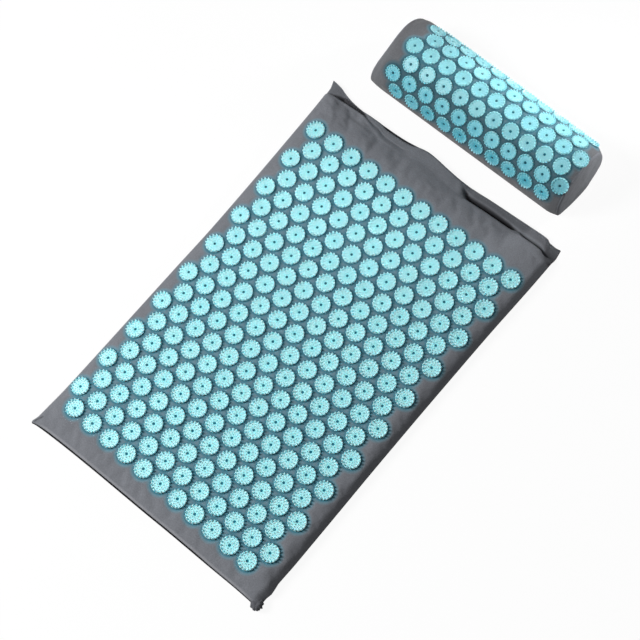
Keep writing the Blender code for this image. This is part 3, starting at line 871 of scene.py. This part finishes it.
def mat_top_places(x, y):
    """The mat's top cloth over a grid of nominal places."""
    from_left, from_right = x + HALF_WIDTH, HALF_WIDTH - x
    from_foot, from_head = y + HALF_LENGTH, HALF_LENGTH - y
    nearest_side = np.minimum(from_left, from_right)
    rise = crown_height(x, y) - SEAM_HEIGHT + loose_cloth(x, y, from_foot, from_head)
    rise = rise + gather_folds(x, y)
    rise = rise - DIMPLE * bell(from_mat_disc(x, y) - DISC_RADIUS, width=4)
    rise = fallen_to_lip(rise, x, y, from_head)
    rise = rounded_sides(rise, from_left, from_right, from_foot, from_head)
    crumpled = FACET_RUMPLES * rumple(0.4 * x + y, 0.5 * y - x, size=6, seed=15)
    rise = rise + right_facet(x, from_head) * (crumpled - FACET_DEPTH)
    # Puckers along the sewn edges
    edge = np.minimum(nearest_side, from_foot)
    pucker = bell(edge - PUCKER_FROM_EDGE, width=5) * rumple(x, y, size=7, seed=11)
    rise = np.maximum(rise + PUCKER_HEIGHT * pucker * np.clip(edge / 3, 0, 1), 0)
    # The groove where the mouth gapes in front of the pad, down to the base at most
    height = SEAM_HEIGHT + rise
    sag = mouth_sag(x, from_head)
    floor = np.maximum(GAPE_FLOOR, base_height(x, y) + GAPE_OVER_BASE + sag)
    height = height + (np.minimum(floor, height) - height) * mouth_groove(x, from_head) - sag
    real_x, real_y = mat_edges(x, y)
    real_x, pinch = pinched(real_x, x, nearest_side, rise)
    real_y = real_y + pinch * (from_foot < PINCH_REACH)
    return np.stack((real_x, real_y, height + MOUTH_GAP * (from_head < 1)), -1)


def base_height(x, y):
    """Height of the underside's outer face: on the floor, rounded up to the seam and the lip."""
    from_side, from_foot = HALF_WIDTH - np.abs(x), y + HALF_LENGTH
    from_head = HALF_LENGTH - y
    depth = SEAM_HEIGHT * quarter_round(from_side, BASE_RIM) * quarter_round(from_foot, BASE_RIM)
    lip = BASE_LIP_DEPTH * quarter_round(from_head, 4)
    behind_lip = quarter_round(np.maximum(from_head - BASE_LIP, 0), BASE_RIM)
    depth = np.minimum(depth, lip + (SEAM_HEIGHT - lip) * behind_lip)
    return np.maximum(SEAM_HEIGHT - depth - mouth_sag(x, from_head), 0)


def mat_base_places(x, y):
    """The mat's underside, with the mouth's lower lip."""
    real_x, real_y = mat_edges(x, y, top=False)
    height = base_height(x, y)
    real_x, _ = pinched(real_x, x, HALF_WIDTH - np.abs(x), SEAM_HEIGHT - height)
    return np.stack((real_x, real_y, height), -1)


def mat_held(x, y):
    """Where the mat's top cloth is held down: by its discs, its seams and its mouth."""
    held = from_mat_disc(x, y) < HELD_BY_DISC
    held |= (HALF_WIDTH - np.abs(x) < 10) | (y + HALF_LENGTH < 7)
    return held | (HALF_LENGTH - y < through(FALL_START, x) + 3)


def mat_painted_shade(x, y):
    """Painted shade on the top cloth: in the groove, on the facet, at the crease and on the lip."""
    from_head = HALF_LENGTH - y
    lip = LIP_SHADE * past(x, start=40, soft=30) * within(from_head, reach=14, soft=4)
    lip += LEFT_LIP_SHADE * past(-x, start=186, soft=10) * within(from_head, reach=22, soft=6)
    return np.maximum.reduce((GROOVE_SHADE * mouth_groove(x, from_head),
                              FACET_SHADE * right_facet(x, from_head),
                              CREASE_SHADE * corner_crease(x, y), lip))


def make_mat_top(cloth):
    x, y = np.meshgrid(stations(HALF_WIDTH, 3.0, EDGE_STEPS),
                       stations(HALF_LENGTH, 3.0, EDGE_STEPS, HEAD_STEPS))
    moves = swell("mat_cloth_trial", mat_top_places, mat_held, (HALF_WIDTH, HALF_LENGTH),
                  MAT_TRIAL_GRID, x, y)
    data = grid_mesh("mat_top_cloth", mat_top_places(x, y) + moves)
    mark(data, "from_disc", from_mat_disc(x, y))
    # Painted shade in the mouth's groove and facet, at the crease and on the lip
    mark(data, "painted_shade", mat_painted_shade(x, y))
    # A painted highlight along the foot's hem
    hem_highlight_line = bell(y + HALF_LENGTH - HEM_HIGHLIGHT_FROM_FOOT, HEM_HIGHLIGHT_WIDTH)
    mark(data, "hem_highlight", within(np.abs(x), reach=200, soft=20) * hem_highlight_line)
    return cloth_piece(data, cloth)


def make_mat_base(cloth):
    x, y = np.meshgrid(stations(HALF_WIDTH, 8.0, EDGE_STEPS),
                       stations(HALF_LENGTH, 8.0, EDGE_STEPS, LIP_STEPS))
    return cloth_piece(grid_mesh("mat_base_cloth", mat_base_places(x, y), flip=True), cloth)


def make_corner_gather(cloth):
    """The knob of bunched cloth at the foot's right corner, with its pleats."""
    mesh = bmesh.new()
    bmesh.ops.create_icosphere(mesh, subdivisions=4, radius=1.0)
    for vertex in mesh.verts:
        spot = vertex.co.copy()
        angle = math.atan2(spot.y, spot.x)
        pleat = math.cos(GATHER_PLEATS * angle + GATHER_TWIST * spot.z) * (1 - abs(spot.z)) ** 0.5
        swelling = 1 + GATHER_PLEAT_DEPTH * pleat
        swelling += sum(height * noise.noise(spot * scale) for scale, height in GATHER_LUMPS)
        if spot.z > 0:
            # A dent in the middle of its top
            off_middle = (spot.x ** 2 + spot.y ** 2) / GATHER_DENT_SIZE
            swelling -= GATHER_DENT * math.exp(-off_middle)
        vertex.co = Vector((GATHER_CENTRE[0] + GATHER_RADIUS * swelling * spot.x,
                            GATHER_CENTRE[1] + GATHER_RADIUS * swelling * spot.y,
                            GATHER_HEIGHT + GATHER_HALF_HEIGHT * swelling * spot.z)) * MM
    data = bpy.data.meshes.new("mat_corner_gather")
    mesh.to_mesh(data)
    mesh.free()
    data.shade_smooth()
    return new_piece(data, cloth)


def make_mat_foam(foam):
    """The foam sheet inside the cover."""
    side = HALF_WIDTH - FOAM_INSET
    x, y = even_grid((-side, side), (FOAM_INSET - HALF_LENGTH, HALF_LENGTH - FOAM_HEAD_INSET),
                     FOAM_GRID)
    height = np.minimum(crown_height(x, y) - FOAM_BELOW_CLOTH, FOAM_TOP)
    top = np.stack((x, y, height), -1)
    bottom = np.stack((x, y, np.full_like(x, FOAM_FLOOR)), -1)
    return closed_pad("mat_foam_sheet", top, bottom, foam)


def make_mat_tape(name, low, high, tape):
    """A strip of the mouth's closure, which follows the lip, between heights from its seam."""
    half = TAPE_SHARE * HALF_WIDTH
    x, y = even_grid((-half, half), [HALF_LENGTH - d for d in TAPE_FROM_HEAD], TAPE_GRID)
    real_x, real_y = mat_edges(x, y)
    seam = SEAM_HEIGHT - mouth_sag(x, HALF_LENGTH - y)
    bottom, top = (np.stack((real_x, real_y, seam + height), -1) for height in (low, high))
    return closed_pad(name, top, bottom, tape)


# Geometry Nodes

def new_tree(name, inputs):
    """An empty Geometry Nodes tree with named inputs, each (name, socket type, value)."""
    tree = bpy.data.node_groups.new(name, "GeometryNodeTree")
    tree.interface.new_socket("Geometry", in_out="INPUT", socket_type="NodeSocketGeometry")
    for label, kind, value in inputs:
        socket = tree.interface.new_socket(label, in_out="INPUT", socket_type=kind)
        if value is not None:
            socket.default_value = value
    tree.interface.new_socket("Geometry", in_out="OUTPUT", socket_type="NodeSocketGeometry")
    return tree, tree.nodes.new("NodeGroupInput").outputs, tree.nodes.new("NodeGroupOutput")


def ended_tree(tree, given, out, instances):
    """Ends a tree with its instances made real and given their material."""
    real = node(tree, "GeometryNodeRealizeInstances", {"Geometry": instances})
    finished = node(tree, "GeometryNodeSetMaterial",
                    {"Geometry": real.outputs[0], "Material": given["Material"]})
    tree.links.new(finished.outputs[0], out.inputs[0])
    return tree


def set_input(modifier, label, value):
    for item in modifier.node_group.interface.items_tree:
        if item.item_type == "SOCKET" and item.in_out == "INPUT" and item.name == label:
            modifier[item.identifier] = value


def position(tree):
    return node(tree, "GeometryNodeInputPosition").outputs[0]


def upwards(tree, height):
    return node(tree, "ShaderNodeCombineXYZ", {"Z": height}).outputs[0]


def stored(tree, geometry, name, value, domain="POINT"):
    """Geometry with one number kept on it by a name."""
    return node(tree, "GeometryNodeStoreNamedAttribute",
                {"Geometry": geometry, "Name": name, "Value": value},
                data_type="FLOAT", domain=domain).outputs[0]


def facing_of(tree):
    """The way that each point faces or runs."""
    return node(tree, "GeometryNodeInputNamedAttribute", {"Name": "facing"},
                data_type="FLOAT_VECTOR").outputs["Attribute"]


def turned_to(tree, direction, axis):
    return node(tree, "FunctionNodeAlignRotationToVector", {"Vector": direction},
                axis=axis).outputs[0]


def on_points(tree, points, instance, rotation, **scale):
    return node(tree, "GeometryNodeInstanceOnPoints",
                {"Points": points, "Instance": instance, "Rotation": rotation, **scale}).outputs[0]


def random_to(tree, high, seed):
    return node(tree, "FunctionNodeRandomValue", {2: 0.0, 3: high, "Seed": seed},
                data_type="FLOAT").outputs[1]


def disc_plate(tree, radius, thick, hole):
    """A plate with a hole: a section with bevelled edges swept round, and marked at its rim for a
    painted highlight.
    """
    section = node(tree, "GeometryNodeCurvePrimitiveQuadrilateral",
                   {"Width": math_node(tree, "SUBTRACT", radius, hole), "Height": thick})
    bevelled = node(tree, "GeometryNodeFilletCurve",
                    {"Curve": section.outputs[0], "Radius": math_node(tree, "MULTIPLY", thick, 0.4),
                     "Limit Radius": True}, mode="POLY")
    middle = math_node(tree, "MULTIPLY", math_node(tree, "ADD", radius, hole), 0.5)
    path = node(tree, "GeometryNodeCurvePrimitiveCircle",
                {"Resolution": DISC_SIDES, "Radius": middle})
    plate = node(tree, "GeometryNodeCurveToMesh",
                 {"Curve": path.outputs["Curve"], "Profile Curve": bevelled.outputs[0]})
    up = upwards(tree, math_node(tree, "MULTIPLY", thick, 0.5))
    lifted = node(tree, "GeometryNodeTransform", {"Geometry": plate.outputs[0], "Translation": up})
    flat_place = vector_node(tree, "MULTIPLY", position(tree), (1, 1, 0))
    reach = vector_node(tree, "LENGTH", flat_place, output="Value")
    share = math_node(tree, "DIVIDE", reach, radius)
    return stored(tree, lifted.outputs[0], "tip_and_highlight", map_range(tree, share, 0.9, 1.0, 0.0, 1.0))


def spike_ring(tree, given, spike, turn, count, place_share, wide, tall):
    """A ring of spikes, each leaning a little outwards."""
    radius = math_node(tree, "MULTIPLY", given["Disc radius"], place_share)
    ring = node(tree, "GeometryNodeMeshCircle", {"Vertices": count, "Radius": radius})
    outward = vector_node(tree, "NORMALIZE", position(tree))
    lean = vector_node(tree, "SCALE", outward, Scale=given["Lean"])
    upright = turned_to(tree, vector_node(tree, "ADD", lean, (0, 0, 1)), "Z")
    spikes = on_points(tree, ring.outputs[0], spike, upright, Scale=(wide, wide, tall))
    base = upwards(tree, math_node(tree, "MULTIPLY", given["Thickness"], 0.8))
    turned = node(tree, "FunctionNodeEulerToRotation", {"Euler": (0, 0, turn)}).outputs[0]
    return node(tree, "GeometryNodeTransform",
                {"Geometry": spikes, "Translation": base, "Rotation": turned}).outputs[0]


def rosette_tree():
    """A spiked disc on each point: a plate with a hole, and rings of leaning spikes."""
    tree, given, out = new_tree("rosettes", (
        ("Disc radius", "NodeSocketFloat", DISC_RADIUS * MM),
        ("Thickness", "NodeSocketFloat", DISC_THICKNESS * MM),
        ("Hole radius", "NodeSocketFloat", HOLE_RADIUS * MM),
        ("Spike height", "NodeSocketFloat", SPIKE_HEIGHT * MM),
        ("Spike width", "NodeSocketFloat", SPIKE_WIDTH * MM),
        ("Lean", "NodeSocketFloat", SPIKE_LEAN),
        ("Seed", "NodeSocketInt", MAT_DISC_SEED),
        ("Material", "NodeSocketMaterial", None)))
    cone = node(tree, "GeometryNodeMeshCone",
                {"Vertices": SPIKE_SIDES, "Side Segments": 1, "Radius Top": 0.0,
                 "Radius Bottom": math_node(tree, "MULTIPLY", given["Spike width"], 0.5),
                 "Depth": given["Spike height"]})
    # Marked paler towards the tip: partly thinner plastic, partly a painted highlight
    rise = node(tree, "ShaderNodeSeparateXYZ", {"Vector": position(tree)}).outputs["Z"]
    towards_tip = math_node(tree, "DIVIDE", rise, given["Spike height"])
    spike = stored(tree, cone.outputs["Mesh"], "tip_and_highlight", towards_tip)
    pieces = [disc_plate(tree, given["Disc radius"], given["Thickness"], given["Hole radius"])]
    for number, ring in enumerate(SPIKE_RINGS):
        pieces.append(spike_ring(tree, given, spike, RING_TURN * number, *ring))
    joined = node(tree, "GeometryNodeJoinGeometry")
    for each in reversed(pieces):
        tree.links.new(each, joined.inputs[0])
    flat = node(tree, "GeometryNodeSetShadeSmooth",
                {"Geometry": joined.outputs[0], "Shade Smooth": False})
    # One rosette on each point, squared to the cloth and turned at random
    square = turned_to(tree, facing_of(tree), "Z")
    spin = upwards(tree, random_to(tree, 2 * math.pi, given["Seed"]))
    spun = node(tree, "FunctionNodeRotateRotation", {"Rotation": square, "Rotate By": spin},
                rotation_space="LOCAL")
    placed = on_points(tree, given["Geometry"], flat.outputs[0], spun.outputs[0])
    shade = random_to(tree, 1.0, given["Seed"])
    return ended_tree(tree, given, out, stored(tree, placed, "tone", shade, "INSTANCE"))


def stitch_tree():
    """A short rounded stitch on each point, laid along the point's own direction."""
    tree, given, out = new_tree("stitches", (
        ("Stitch length", "NodeSocketFloat", STITCH_LENGTH * MM),
        ("Stitch width", "NodeSocketFloat", STITCH_WIDTH * MM),
        ("Material", "NodeSocketMaterial", None)))
    half = math_node(tree, "MULTIPLY", given["Stitch width"], 0.5)
    ball = node(tree, "GeometryNodeMeshUVSphere", {"Segments": 6, "Rings": 5, "Radius": half})
    longer = math_node(tree, "DIVIDE", given["Stitch length"], given["Stitch width"])
    stretch = node(tree, "ShaderNodeCombineXYZ", {"X": longer, "Y": 1.0, "Z": 0.8})
    bar = node(tree, "GeometryNodeTransform",
               {"Geometry": ball.outputs["Mesh"], "Scale": stretch.outputs[0]})
    lay = turned_to(tree, facing_of(tree), "X")
    return ended_tree(tree, given, out, on_points(tree, given["Geometry"], bar.outputs[0], lay))


def instanced(name, places, facings, tree, material, **inputs):
    """One plain mesh of what a tree sets on places that each face or run a way of their own."""
    data = bpy.data.meshes.new(name)
    data.from_pydata((places * MM).tolist(), [], [])
    facing = data.attributes.new("facing", "FLOAT_VECTOR", "POINT")
    facing.data.foreach_set("vector", facings.astype(np.float32).ravel())
    piece = new_piece(data)
    modifier = piece.modifiers.new(tree.name, "NODES")
    modifier.node_group = tree
    for label, value in {"Material": material, **inputs}.items():
        set_input(modifier, label.replace("_", " "), value)
    return made_plain(piece)


def make_discs(name, surface, field, tree, plastic, **inputs):
    """A body's spiked discs, each squared to a surface function at its own two coordinates."""
    first, second = field
    step = 2.0
    across = surface(first + step, second) - surface(first - step, second)
    along = surface(first, second + step) - surface(first, second - step)
    facing = np.cross(across, along)
    facing /= np.linalg.norm(facing, axis=-1, keepdims=True)
    places = surface(first, second) - DISC_SINK * facing
    return instanced(name, places, facing, tree, plastic, **inputs)


def smooth_mat(x, y):
    return np.stack((x, y, crown_height(x, y)), -1)


def make_mouth_stitches(tree, thread):
    """The row of stitches along the hem of the mouth."""
    half = STITCH_SHARE * HALF_WIDTH
    x = np.linspace(-half, half, round(2 * half / STITCH_SPACING))
    y = np.full(len(x), HALF_LENGTH - STITCH_INSET)
    ahead = mat_top_places(x + 1, y) - mat_top_places(x - 1, y)
    places = mat_top_places(x, y) + (0, 0, STITCH_LIFT)
    return instanced("mat_mouth_stitches", places, ahead, tree, thread)


# Pillow: x along it, and arc round it from its crest, about its own middle

HALF_ARC = PILLOW_RADIUS * math.acos(-(PILLOW_AXIS - PILLOW_FLOOR) / PILLOW_RADIUS)


def slanted(x, y):
    """The pillow's left end is sewn on a little askew."""
    return x + PILLOW_LEFT_SLANT * y * np.clip(-x / PILLOW_HALF, 0, None) ** 2


def end_tuck(x, arc):
    """How far an end of the arch is drawn in, or out where it's negative, along the pillow."""
    left = PILLOW_LEFT_TUCK * bell(arc - PILLOW_LEFT_TUCK_ARC, width=46)
    left = left - PILLOW_LEFT_FLARE * bell(arc - PILLOW_LEFT_FLARE_ARC, width=16)
    right = PILLOW_RIGHT_TUCK * past(arc, start=10, soft=50)
    near_end = np.clip((np.abs(x) - PILLOW_HALF) / PILLOW_TUCK_REACH + 1, 0, 1) ** 2
    return np.where(x < 0, left, right) * near_end


def pillow_arch(x, arc):
    """The pillow's arched cloth."""
    from_end = np.clip((PILLOW_HALF - np.abs(x)) / PILLOW_END_ROUND, 0, 1)
    shrink = np.where(x < 0, PILLOW_LEFT_SHRINK, PILLOW_RIGHT_SHRINK)
    scale = (1 - shrink * (1 - from_end) ** 2) * (1 - PILLOW_TAPER * x / PILLOW_HALF)
    theta = arc / PILLOW_RADIUS
    drop = PILLOW_AXIS - PILLOW_FLOOR
    y = PILLOW_RADIUS * np.sin(theta) * scale
    z = PILLOW_FLOOR + (drop + PILLOW_RADIUS * np.cos(theta)) * scale
    return np.stack((slanted(x, y) - np.sign(x) * end_tuck(x, arc), y, z), -1)


def laid_down(places):
    """Takes places about the pillow's middle to where it lies."""
    x, y, z = np.moveaxis(places, -1, 0)
    cos, sin = math.cos(PILLOW_TURN), math.sin(PILLOW_TURN)
    return np.stack((x * cos - y * sin + PILLOW_CENTRE[0],
                     x * sin + y * cos + PILLOW_CENTRE[1], z), -1)


def pillow_places(x, arc):
    return laid_down(pillow_arch(x, arc))


def pillow_held(x, arc):
    """Where the pillow's top cloth is held down, by its discs and its seams."""
    held = from_nearest(x, arc, PILLOW_FIELD) < HELD_BY_DISC
    return held | (PILLOW_HALF - np.abs(x) < 6) | (HALF_ARC - np.abs(arc) < 8)


def make_pillow_top(cloth):
    x, arc = np.meshgrid(stations(PILLOW_HALF, 3.0, PILLOW_END_STEPS),
                         np.linspace(-HALF_ARC, HALF_ARC, PILLOW_ARCH_LINES))
    moves = swell("pillow_cloth_trial", pillow_places, pillow_held, (PILLOW_HALF, HALF_ARC),
                  PILLOW_TRIAL_GRID, x, arc)
    data = grid_mesh("pillow_top_cloth", pillow_places(x, arc) + moves)
    from_disc = from_nearest(x, arc, PILLOW_FIELD)
    mark(data, "from_disc", from_disc + DISC_RADIUS - PILLOW_DISC_RADIUS)
    # Painted shade among the discs of the near side
    near_side = past(-arc, start=8, soft=25) * within(from_disc, reach=21, soft=5)
    mark(data, "painted_shade", NEAR_SIDE_SHADE * near_side)
    return cloth_piece(data, cloth)


def base_bulge(side, share):
    """How far an end's base line stands out, where share runs from -1 to 1 along it."""
    return (PILLOW_BASE_BULGE if side > 0 else 0.0) * (1 - share ** 2)


def pillow_outline(side):
    """An end's outline about the pillow's middle, the arch and its base line.

    Gives (y, z) of each place, and how far it is drawn in along the pillow.
    """
    arcs = np.linspace(-HALF_ARC, HALF_ARC, END_ARCH_PLACES)
    end = np.full(END_ARCH_PLACES, side * PILLOW_HALF)
    arch, tuck = pillow_arch(end, arcs)[:, 1:], end_tuck(end, arcs)
    share = np.linspace(0, 1, END_ARCH_PLACES // 3)[1:-1]
    base = arch[-1] + (arch[0] - arch[-1]) * share[:, None]
    base_tuck = tuck[-1] + (tuck[0] - tuck[-1]) * share - base_bulge(side, 2 * share - 1)
    return np.concatenate((arch, base)), np.concatenate((tuck, base_tuck))


def make_pillow_end(name, side, bulge, cloth):
    """A bulging half-round end in rings, from a low seam at the arch to a dome."""
    loop, tucks = pillow_outline(side)
    dome = [(s, bulge * (1 - s ** END_DOME_POWER) + END_DOME_FOOT) for s in END_DOME]
    share, out = np.array((*END_SEAM, *dome)).T[..., None]
    middle = np.array((0.0, PILLOW_AXIS))
    y, z = np.moveaxis(middle + (loop - middle) * share[..., None], -1, 0)
    wave = END_RUMPLES * rumple(y, z, size=11, seed=4 * side) * np.minimum(out / 3, 1)
    drawn_in = tucks.mean() + (tucks - tucks.mean()) * share
    x = slanted(side * (PILLOW_HALF + out + wave), y) - side * drawn_in
    places = laid_down(np.stack((x, y, z), -1))
    rings = numbered(places)
    faces = [*quads(np.column_stack((rings, rings[:, 0]))), rings[-1]]
    return cloth_piece(smooth_mesh(name, places, [f[::-side] for f in faces]), cloth)


def make_pillow_base(cloth):
    x, share = even_grid((-PILLOW_HALF - 1, PILLOW_HALF + 1), (-1, 1), PILLOW_BASE_GRID)
    half = pillow_arch(np.clip(x, -PILLOW_HALF, PILLOW_HALF), np.full_like(x, HALF_ARC))[..., 1]
    y = share * half
    tuck = end_tuck(x, share * HALF_ARC) * np.abs(share)
    bulge = base_bulge(1, share) * np.clip(x / PILLOW_HALF, 0, 1) ** 4
    end_x = slanted(x, y) - np.sign(x) * tuck + bulge
    top = laid_down(np.stack((end_x, y, np.full_like(x, PILLOW_FLOOR)), -1))
    return closed_pad("pillow_base_cloth", top, top * (1, 1, 0), cloth)


def make_pillow_foam(foam):
    half = PILLOW_HALF - BOLSTER_INSET
    arch = pillow_arch(*even_grid((-half, half), (-HALF_ARC, HALF_ARC), BOLSTER_GRID))
    axis = np.array((0.0, 0.0, PILLOW_AXIS))
    top = laid_down(arch + (axis - arch) * (0, BOLSTER_SLACK, BOLSTER_SLACK))
    bottom = top * (1, 1, 0) + (0, 0, PILLOW_FLOOR + BOLSTER_LIFT)
    return closed_pad("pillow_foam_bolster", top, bottom, foam)


# Stage

def make_camera():
    data = bpy.data.cameras.new("camera")
    data.lens, data.sensor_width = CAMERA_LENS, CAMERA_SENSOR
    turn = [math.radians(a) for a in CAMERA_TURN]
    bpy.context.scene.camera = new_object(data, CAMERA_PLACE, turn)


def make_lamp(name, place, aim, size, watts, beam=180.0):
    """A round soft lamp; a beam below 180 degrees keeps its light to what it aims at."""
    data = bpy.data.lights.new(name, "AREA")
    data.shape = "DISK"
    data.size = size
    data.energy = watts
    data.spread = math.radians(beam)
    new_object(data, place, (Vector(aim) - Vector(place)).to_track_quat("-Z", "Y").to_euler())


def white_when_seen(tree, shader, share, end):
    """Mixes a shader with plain white where the camera, a reflection or glass sees it."""
    rays = node(tree, "ShaderNodeLightPath").outputs
    seen = math_node(tree, "MAXIMUM", rays["Is Camera Ray"], rays["Is Glossy Ray"])
    seen = math_node(tree, "MAXIMUM", seen, rays["Is Transmission Ray"])
    white = node(tree, "ShaderNodeEmission", {"Color": (1, 1, 1, 1), "Strength": 1.0})
    both = node(tree, "ShaderNodeMixShader",
                {0: math_node(tree, "MULTIPLY", seen, share), 1: shader, 2: white.outputs[0]})
    tree.links.new(both.outputs[0], tree.nodes[end].inputs["Surface"])


def make_floor():
    """A pale floor: white to the camera but for the object's shadow, and duller to the object."""
    material, tree, shader = blank_material("pale_floor", Roughness=0.9)
    seen = node(tree, "ShaderNodeLightPath").outputs["Is Camera Ray"]
    coloured(tree, shader, mixed(tree, seen, *((tone, tone, tone, 1) for tone in FLOOR_TONES)))
    white_when_seen(tree, shader.outputs[0], FLOOR_WHITE_SHARE, "Material Output")
    data = bpy.data.meshes.new("floor")
    half = FLOOR_HALF
    data.from_pydata([(-half, -half, 0), (half, -half, 0), (half, half, 0), (-half, half, 0)],
                     [], [(0, 1, 2, 3)])
    new_piece(data, material)


def make_world():
    world = bpy.data.worlds.new("studio")
    world.use_nodes = True
    light = world.node_tree.nodes["Background"]
    light.inputs["Color"].default_value = (1, 1, 1, 1)
    light.inputs["Strength"].default_value = WORLD_LIGHT
    white_when_seen(world.node_tree, light.outputs[0], 1.0, "World Output")
    bpy.context.scene.world = world


make_camera()
make_world()
make_floor()
make_lamp("key light", (-1.9, -1.3, 2.3), aim=(0, 0, 0), size=1.2, watts=112)
make_lamp("pillow back light", (0.42, 1.06, 0.30), aim=(0.03, 0.43, 0.06), size=0.2, watts=0.43,
          beam=32)
bpy.context.scene.view_settings.view_transform = "Standard"

mat_cloth = cloth_material("mat_cloth", CLOTH_COLOUR, marked=True)
# The pillow's cloth is darker than the mat's: painted shade
pillow_shaded_cloth = cloth_material("pillow_shaded_cloth", PILLOW_SHADED_CLOTH_COLOUR, marked=True)
plain_cloth = cloth_material("plain_cloth", CLOTH_COLOUR)
# Darker cloth for the bunched corner: painted shade
gather_shaded_cloth = cloth_material("gather_shaded_cloth", GATHER_SHADED_COLOUR)
# The base cloth's dark line along the edges is painted shadow
base_cloth_and_shadow = cloth_material("base_cloth_and_shadow", BASE_CLOTH_AND_SHADOW_COLOUR)
plastic = plastic_material("disc_plastic", PLASTIC_COLOUR, PLASTIC_DEEP_COLOUR,
                           PLASTIC_TIP_AND_HIGHLIGHT_COLOUR)
# The pillow's plastic is deeper than the mat's: painted shade
pillow_shaded_plastic = plastic_material("pillow_disc_shaded_plastic", PILLOW_SHADED_PLASTIC_COLOUR,
                                  PILLOW_DEEP_AND_SHADED_PLASTIC_COLOUR, PILLOW_TIP_AND_HIGHLIGHT_COLOUR,
                                  near_shade_from=PILLOW_NEAR_SHADE_FROM)
foam = foam_material()
tape = fibre_material("closure_tape", 0.8, TAPE_COLOURS, scale=1400.0, detail=4.0,
                      strength=0.8, depth=0.0006)
thread = fibre_material("sewing_thread", 0.7, THREAD_COLOURS, scale=2400.0, detail=2.0,
                        strength=0.5, depth=0.0002)
rosettes = rosette_tree()
stitches = stitch_tree()

# Each body's pieces: the piece, the node that it stands for, its slot, and its fill if padded
mat_pieces = (
    (make_mat_top(mat_cloth), "mat_top_panel", "cloth_with_discs", 0.7),
    (make_mat_base(base_cloth_and_shadow), "mat_base_panel", "cloth", None),
    (make_mat_foam(foam), "mat_foam_core", "foam", 1.0),
    (make_mat_tape("mat_loop_strip", 0.05, 0.75, tape), "mat_loop_tape", "tape", None),
    (make_mat_tape("mat_hook_strip", -0.75, -0.05, tape), "mat_hook_tape", "tape", None),
    (make_discs("mat_spiked_discs", smooth_mat, MAT_FIELD, rosettes, plastic,
                Seed=MAT_DISC_SEED), "mat_top_panel", "cloth_with_discs", None),
    (make_mouth_stitches(stitches, thread), "mat_top_panel", "cloth_with_discs", None),
    (make_corner_gather(gather_shaded_cloth), "mat_top_panel", "cloth_with_discs", None),
)
pillow_pieces = (
    (make_pillow_top(pillow_shaded_cloth), "pillow_top_panel", "cloth_with_discs", 0.9),
    (make_pillow_base(base_cloth_and_shadow), "pillow_base_panel", "cloth", None),
    (make_pillow_end("pillow_left_end_cloth", -1, PILLOW_LEFT_BULGE, plain_cloth),
     "pillow_left_end_panel", "cloth", None),
    (make_pillow_end("pillow_right_end_cloth", 1, PILLOW_RIGHT_BULGE, plain_cloth),
     "pillow_right_end_panel", "cloth", None),
    (make_pillow_foam(foam), "pillow_foam_core", "foam", 1.0),
    (make_discs("pillow_spiked_discs", pillow_places, PILLOW_FIELD, rosettes, pillow_shaded_plastic,
                Seed=PILLOW_DISC_SEED, Disc_radius=PILLOW_DISC_RADIUS * MM,
                Spike_height=PILLOW_SPIKE_HEIGHT * MM),
     "pillow_top_panel", "cloth_with_discs", None),
)
for body, pieces in (("mat", mat_pieces), ("pillow", pillow_pieces)):
    for piece, replaced, slot, fill in pieces:
        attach(piece, body)
        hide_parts(replaced)
